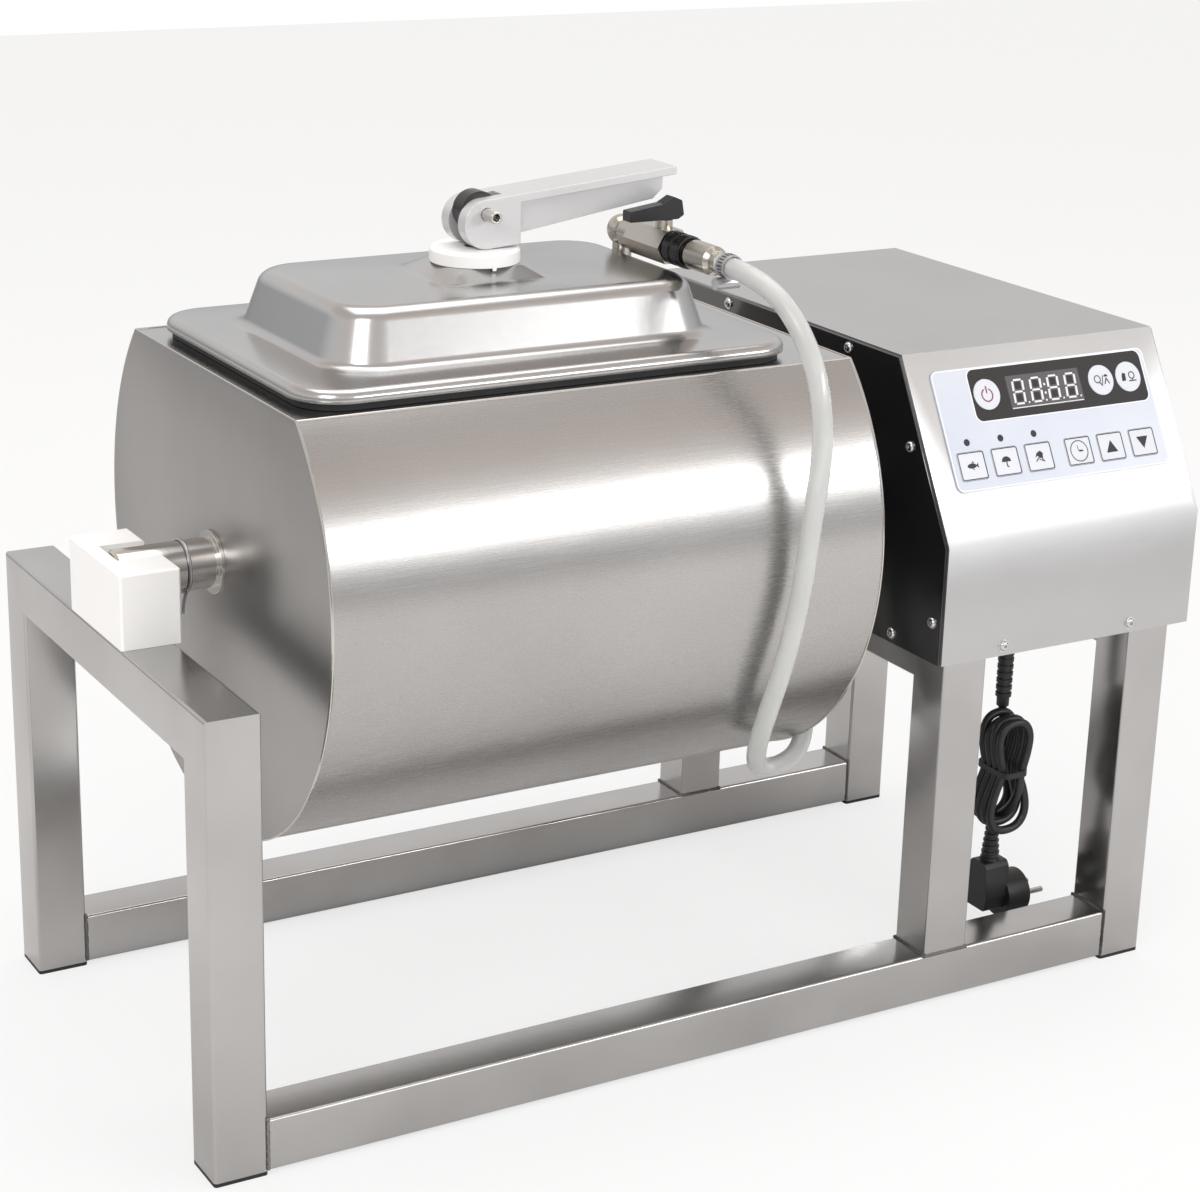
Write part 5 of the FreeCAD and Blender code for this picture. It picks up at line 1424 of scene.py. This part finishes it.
    def _icon(self, icon: Icon) -> list[Outline]:
        """The outlines of a key's picture.

        Args:
            icon: which picture.

        Returns:
            Filled outlines round the key's middle.
        """
        if icon is Icon.POWER:
            return ribbon(arc(0, -0.6, 5.0, 118, 422, 26), 1.0) + ribbon([(0, 1.2), (0, 6.2)], 1.1)
        if icon is Icon.ROAST:
            return (ribbon(arc(-3.6, 0.8, 2.9, 0, 360, 18), 0.8)
                    + ribbon([(-2.2, -1.6), (0.2, -4.6)], 1.0)
                    + ribbon([(0.6, -3.4), (2.2, 3.6)], 0.7)
                    + ribbon([(3.0, -3.4), (5.2, 1.0), (7.4, -3.4)], 0.9)
                    + [arc(5.2, 2.2, 1.9, 0, 180, 10)])
        if icon is Icon.BOWL:
            return ([[(-6.8, -3.4), (-3.0, -3.0), (-2.6, 2.6), (-5.0, 3.6), (-6.4, 1.2)]]
                    + ribbon(arc(3.4, 0.8, 2.7, 0, 360, 18), 0.8)
                    + ribbon([(0.2, -3.6), (6.8, -3.6)], 0.9)
                    + ribbon([(3.4, -1.8), (3.4, -3.6)], 0.9))
        if icon is Icon.FISH:
            return ([arc(-0.8, 0, 4.2, 0, 360, 20, 0.46),
                     [(2.8, 0.0), (5.6, 2.2), (5.0, 0.0), (5.6, -2.2)]]
                    + ribbon([(-1.0, 1.6), (0.8, 3.4), (1.6, 1.0)], 0.6)
                    + ribbon([(-1.0, -1.6), (0.6, -3.2)], 0.6))
        if icon is Icon.MUSHROOM:
            return ([arc(0, 0.2, 4.2, 0, 180, 16, 0.86)]
                    + ribbon([(0, 0.4), (0, -3.8), (1.1, -4.4)], 1.0)
                    + ribbon([(-4.0, 0.1), (4.0, 0.1)], 0.8))
        if icon is Icon.LEAF:
            return ([[(-4.4, -0.6), (-2.2, 3.0), (1.4, 4.6), (3.6, 2.4), (2.8, -1.4),
                      (0.2, -1.2), (-1.8, 0.8)]]
                    + ribbon([(-3.8, -3.4), (0.6, 0.6), (3.8, -4.2)], 0.9)
                    + ribbon([(-0.6, -2.2), (2.4, -3.4)], 0.7))
        if icon is Icon.CLOCK:
            return (ribbon(arc(0, 0, 8.2, 0, 360, 30), 0.7)
                    + ribbon([(0.2, 0.0), (3.2, 0.0)], 1.3) + ribbon([(-0.6, 0.4), (-1.0, 4.4)], 0.5))
        flip = 1.0 if icon is Icon.UP else -1.0
        return [[(-5.6 * flip, -4.6 * flip), (5.6 * flip, -4.6 * flip), (0.0, 5.0 * flip)]]


# -------------------------------------------------------------- mains lead


@dataclass
class MainsLead:
    """The gland, ribbed relief, tied hank and moulded plug."""

    radius: float = 3.5
    lead: tuple = (303.0, -125.0)
    plug: tuple = (302.0, -125.0)
    relief_top: float = 272.0
    relief_tip: float = 208.0
    neck_top: float = 103.2
    centre_x: float = 296.0
    centre_z: float = 160.0
    turns: int = 4
    layer: float = 7.3

    def build(self) -> None:
        """Build the lead."""
        Workshop.skin_of("cord_gland", RUBBER, 0.4)
        Workshop.skin_of("mains_plug", RUBBER, 0.9)
        Workshop.skin_of("plug_pins", BRIGHT_STEEL, 0.4)
        self._relief_ribs()
        self._cord()
        LOG.info("mains lead: relief, hank, plug")

    def _relief_ribs(self) -> None:
        """The ribs round the strain relief."""
        ring = [(math.cos(math.tau * k / 24), math.sin(math.tau * k / 24)) for k in range(24)]
        points, faces = Workshop.prism([(x * 6.6, y * 6.6) for x, y in ring], -1.6, 1.6,
                                       lambda a, b, h: (a, b, h))
        template = Workshop.mesh("relief_rib", points, faces, RUBBER)
        spots = [(self.lead[0], self.lead[1], self.relief_top - 6 - k * 6.0) for k in range(9)]
        piece = RepeatTree(RUBBER).made("relief_ribs", template, spots,
                                        [(0, 0, 1)] * len(spots), RUBBER)
        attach(piece, "frame")

    def _loop(self, turn: int) -> list[tuple[float, float]]:
        """One hourglass loop of the hank, from its right side down.

        Args:
            turn: the loop's number, which shapes it a little.

        Returns:
            Corners of X and Z round the hank's middle.
        """
        low = (0.0, 4.0, 1.0, 6.0)[turn % 4]
        high = (2.0, -2.0, 1.0, 0.0)[turn % 4]
        skew = (0.0, 2.0, -2.0, 1.0)[turn % 4]
        return [(7.5, 0.0), (15.0 + skew, -16.0), (20.0 + skew, -32.0 - low),
                (11.0 + skew, -46.0 - low), (-11.0 + skew, -46.0 - low), (-19.0, -32.0 - low),
                (-14.0, -16.0), (-7.5, 0.0), (-13.0, 16.0), (-15.0, 32.0 + high),
                (-8.0, 43.0 + high), (8.0, 43.0 + high), (15.0, 32.0 + high), (13.0, 16.0)]

    def _route(self) -> list[tuple[float, float, float]]:
        """The cord's corners from the relief to the plug.

        Returns:
            The corners.
        """
        back = self.lead[1]
        corners = [(self.lead[0], back, self.relief_tip),
                   (self.lead[0] + 0.5, back, self.relief_tip - 6.0),
                   (self.centre_x + 12.0, back, self.relief_tip - 22.0)]
        total = self.turns * 14
        step = 0
        for turn in range(self.turns):
            for x, z in self._loop(turn):
                y = back - self.layer * self.turns * step / total
                corners.append((self.centre_x + x, y, self.centre_z + z))
                step += 1
        front = back - self.layer * self.turns
        x, y = self.plug
        corners += [(self.centre_x + 7.0, front, self.centre_z - 2.0),
                    (self.centre_x + 6.0, front, self.centre_z - 22.0),
                    (x, (front + y) / 2, self.neck_top + 16.0), (x, y, self.neck_top + 6.0),
                    (x, y, self.neck_top)]
        return corners

    def _cord(self) -> None:
        """The lead itself, looped, tied and brought to the plug."""
        path = Workshop.spline("mains_cord", self._route())
        points, faces = Workshop.tube(path, self.radius, 16)
        piece = Workshop.mesh("mains_cord", points, faces, RUBBER, 60.0)
        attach(piece, "frame")
        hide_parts("power_cord", "cord_hank")
        tie = self._tie()

    def _tie(self) -> bpy.types.Object:
        """The band round the hank's waist.

        Returns:
            The new object.
        """
        middle = self.lead[1] - self.layer * self.turns / 2
        outline = rounded_rectangle(23.0, self.layer * self.turns + 9.0, 6.0, 6)
        rings = []
        for grow, z in ((0.0, -3.0), (1.2, -2.4), (1.2, 2.4), (0.0, 3.0), (-0.6, 0.0)):
            ring = rounded_rectangle(23.0 + grow * 2, self.layer * self.turns + 9.0 + grow * 2,
                                     6.0 + grow, 6)
            rings.append([(self.centre_x + x, middle + y, self.centre_z + z) for x, y in ring])
        points, faces = Workshop.rings(rings + [rings[0]], capped=False)
        piece = Workshop.mesh("hank_tie", points, faces, RUBBER, 50.0)
        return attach(piece, "frame") or piece


# ------------------------------------------------------------------ studio


@dataclass
class Studio:
    """The floor, the soft lights and the camera."""

    camera_spot: tuple[float, float, float] = (-1.02352, -1.7332, 0.97959)
    yaw: float = 30.398
    pitch: float = -18.465
    roll: float = 1.532
    lens: float = 80.83

    def build(self) -> None:
        """Set up the studio."""
        self._world()
        self._floor()
        self._light("strip_light", (1.9, -2.9, 1.45), (0.0, 0.0, 0.40), (2.6, 0.30), 34.0)
        self._light("key_blue", (-2.2, -2.2, 2.4), (0.0, 0.0, 0.40), (1.5, 1.5), 38.0)
        self._light("top_light", (0.2, 0.4, 3.0), (0.0, 0.0, 0.3), (2.4, 2.0), 30.0)
        self._camera()
        scene = bpy.context.scene
        scene.view_settings.view_transform = "Standard"
        LOG.info("studio: floor, lights, camera")

    def _world(self) -> None:
        """A pale room, warmer overhead, white where the camera looks."""
        world = bpy.data.worlds.new("studio_room")
        bpy.context.scene.world = world
        world.use_nodes = True
        nodes, links = world.node_tree.nodes, world.node_tree.links
        nodes.clear()
        out = nodes.new("ShaderNodeOutputWorld")
        place = nodes.new("ShaderNodeTexCoord")
        split = nodes.new("ShaderNodeSeparateXYZ")
        ramp = nodes.new("ShaderNodeValToRGB")
        stops = ramp.color_ramp.elements
        stops[0].position, stops[0].color = 0.0, (0.62, 0.62, 0.62, 1)
        stops[1].position, stops[1].color = 1.0, (0.80, 0.80, 0.81, 1)
        for position, colour in ((0.50, (0.40, 0.40, 0.41, 1)), (0.56, (0.66, 0.66, 0.67, 1)),
                                 (0.68, (0.95, 0.95, 0.95, 1)), (0.80, (0.86, 0.76, 0.70, 1)),
                                 (0.92, (0.74, 0.70, 0.68, 1))):
            stop = stops.new(position)
            stop.color = colour
        half = nodes.new("ShaderNodeMapRange")
        half.inputs["From Min"].default_value = -1.0
        shade = nodes.new("ShaderNodeBackground")
        shade.inputs["Strength"].default_value = 1.0
        white = nodes.new("ShaderNodeBackground")
        white.inputs["Color"].default_value = (1, 1, 1, 1)
        rays = nodes.new("ShaderNodeLightPath")
        mix = nodes.new("ShaderNodeMixShader")
        links.new(place.outputs["Generated"], split.inputs["Vector"])
        links.new(split.outputs["Z"], half.inputs["Value"])
        links.new(half.outputs["Result"], ramp.inputs["Fac"])
        links.new(ramp.outputs["Color"], shade.inputs["Color"])
        links.new(rays.outputs["Is Camera Ray"], mix.inputs["Fac"])
        links.new(shade.outputs["Background"], mix.inputs[1])
        links.new(white.outputs["Background"], mix.inputs[2])
        links.new(mix.outputs["Shader"], out.inputs["Surface"])

    def _floor(self) -> None:
        """A pale floor that shows white and keeps the shadow."""
        points = [(-6000, -6000, 0), (6000, -6000, 0), (6000, 6000, 0), (-6000, 6000, 0)]
        plain = Finish("studio_floor", (0.80, 0.80, 0.80), 0.9, 0.0, 0.01, 0.0)
        floor = Workshop.mesh("studio_floor", points, [(0, 1, 2, 3)], plain)
        material = plain.material()
        nodes, links = material.node_tree.nodes, material.node_tree.links
        shader = nodes["Principled BSDF"]
        output = next(n for n in nodes if n.type == "OUTPUT_MATERIAL")
        glow = nodes.new("ShaderNodeEmission")
        glow.inputs["Color"].default_value = (1, 1, 1, 1)
        rays = nodes.new("ShaderNodeLightPath")
        seen = nodes.new("ShaderNodeMath")
        seen.operation = "MAXIMUM"
        level = nodes.new("ShaderNodeMath")
        level.operation = "MULTIPLY"
        level.inputs[1].default_value = 0.72
        mix = nodes.new("ShaderNodeMixShader")
        links.new(rays.outputs["Is Camera Ray"], seen.inputs[0])
        links.new(rays.outputs["Is Transmission Ray"], seen.inputs[1])
        links.new(seen.outputs["Value"], level.inputs[0])
        links.new(level.outputs["Value"], mix.inputs["Fac"])
        links.new(shader.outputs["BSDF"], mix.inputs[1])
        links.new(glow.outputs["Emission"], mix.inputs[2])
        links.new(mix.outputs["Shader"], output.inputs["Surface"])

    def _light(self, name: str, spot: Sequence[float], aim: Sequence[float],
               size: tuple[float, float], power: float) -> None:
        """A soft rectangular light.

        Args:
            name: its name.
            spot: where it hangs, in metres.
            aim: what it faces.
            size: its length and height.
            power: its power in watts.
        """
        lamp = bpy.data.lights.new(name, "AREA")
        lamp.shape = "RECTANGLE"
        lamp.size, lamp.size_y = size
        lamp.energy = power
        piece = bpy.data.objects.new(name, lamp)
        bpy.context.scene.collection.objects.link(piece)
        piece.location = spot
        piece.rotation_euler = (Vector(aim) - Vector(spot)).to_track_quat("-Z", "Y").to_euler()

    def _camera(self) -> None:
        """A long lens, level with the lid and to the left."""
        yaw, pitch, roll = (math.radians(a) for a in (self.yaw, self.pitch, self.roll))
        ahead = Vector((math.sin(yaw) * math.cos(pitch), math.cos(yaw) * math.cos(pitch),
                        math.sin(pitch)))
        right = Vector((math.cos(yaw), -math.sin(yaw), 0.0))
        up = right.cross(ahead)
        side = right * math.cos(roll) + up * math.sin(roll)
        top = up * math.cos(roll) - right * math.sin(roll)
        lens = bpy.data.cameras.new("studio_camera")
        lens.sensor_width = 36.0
        lens.lens = self.lens
        camera = bpy.data.objects.new("studio_camera", lens)
        bpy.context.scene.collection.objects.link(camera)
        turn = Matrix((side, top, -ahead)).transposed().to_4x4()
        camera.matrix_world = Matrix.Translation(self.camera_spot) @ turn
        bpy.context.scene.camera = camera


def main() -> None:
    """Build every sub-assembly in order, then the studio."""
    logging.basicConfig(level=logging.INFO, format="%(name)s: %(message)s")
    for part in (TubeFrame(), Bearing(), Drum(), Lid(), CamClamp(), VacuumTrain(), DriveBox(),
                 ControlPanel(), MainsLead()):
        part.build()
    Studio().build()


if __name__ == "__main__":
    main()
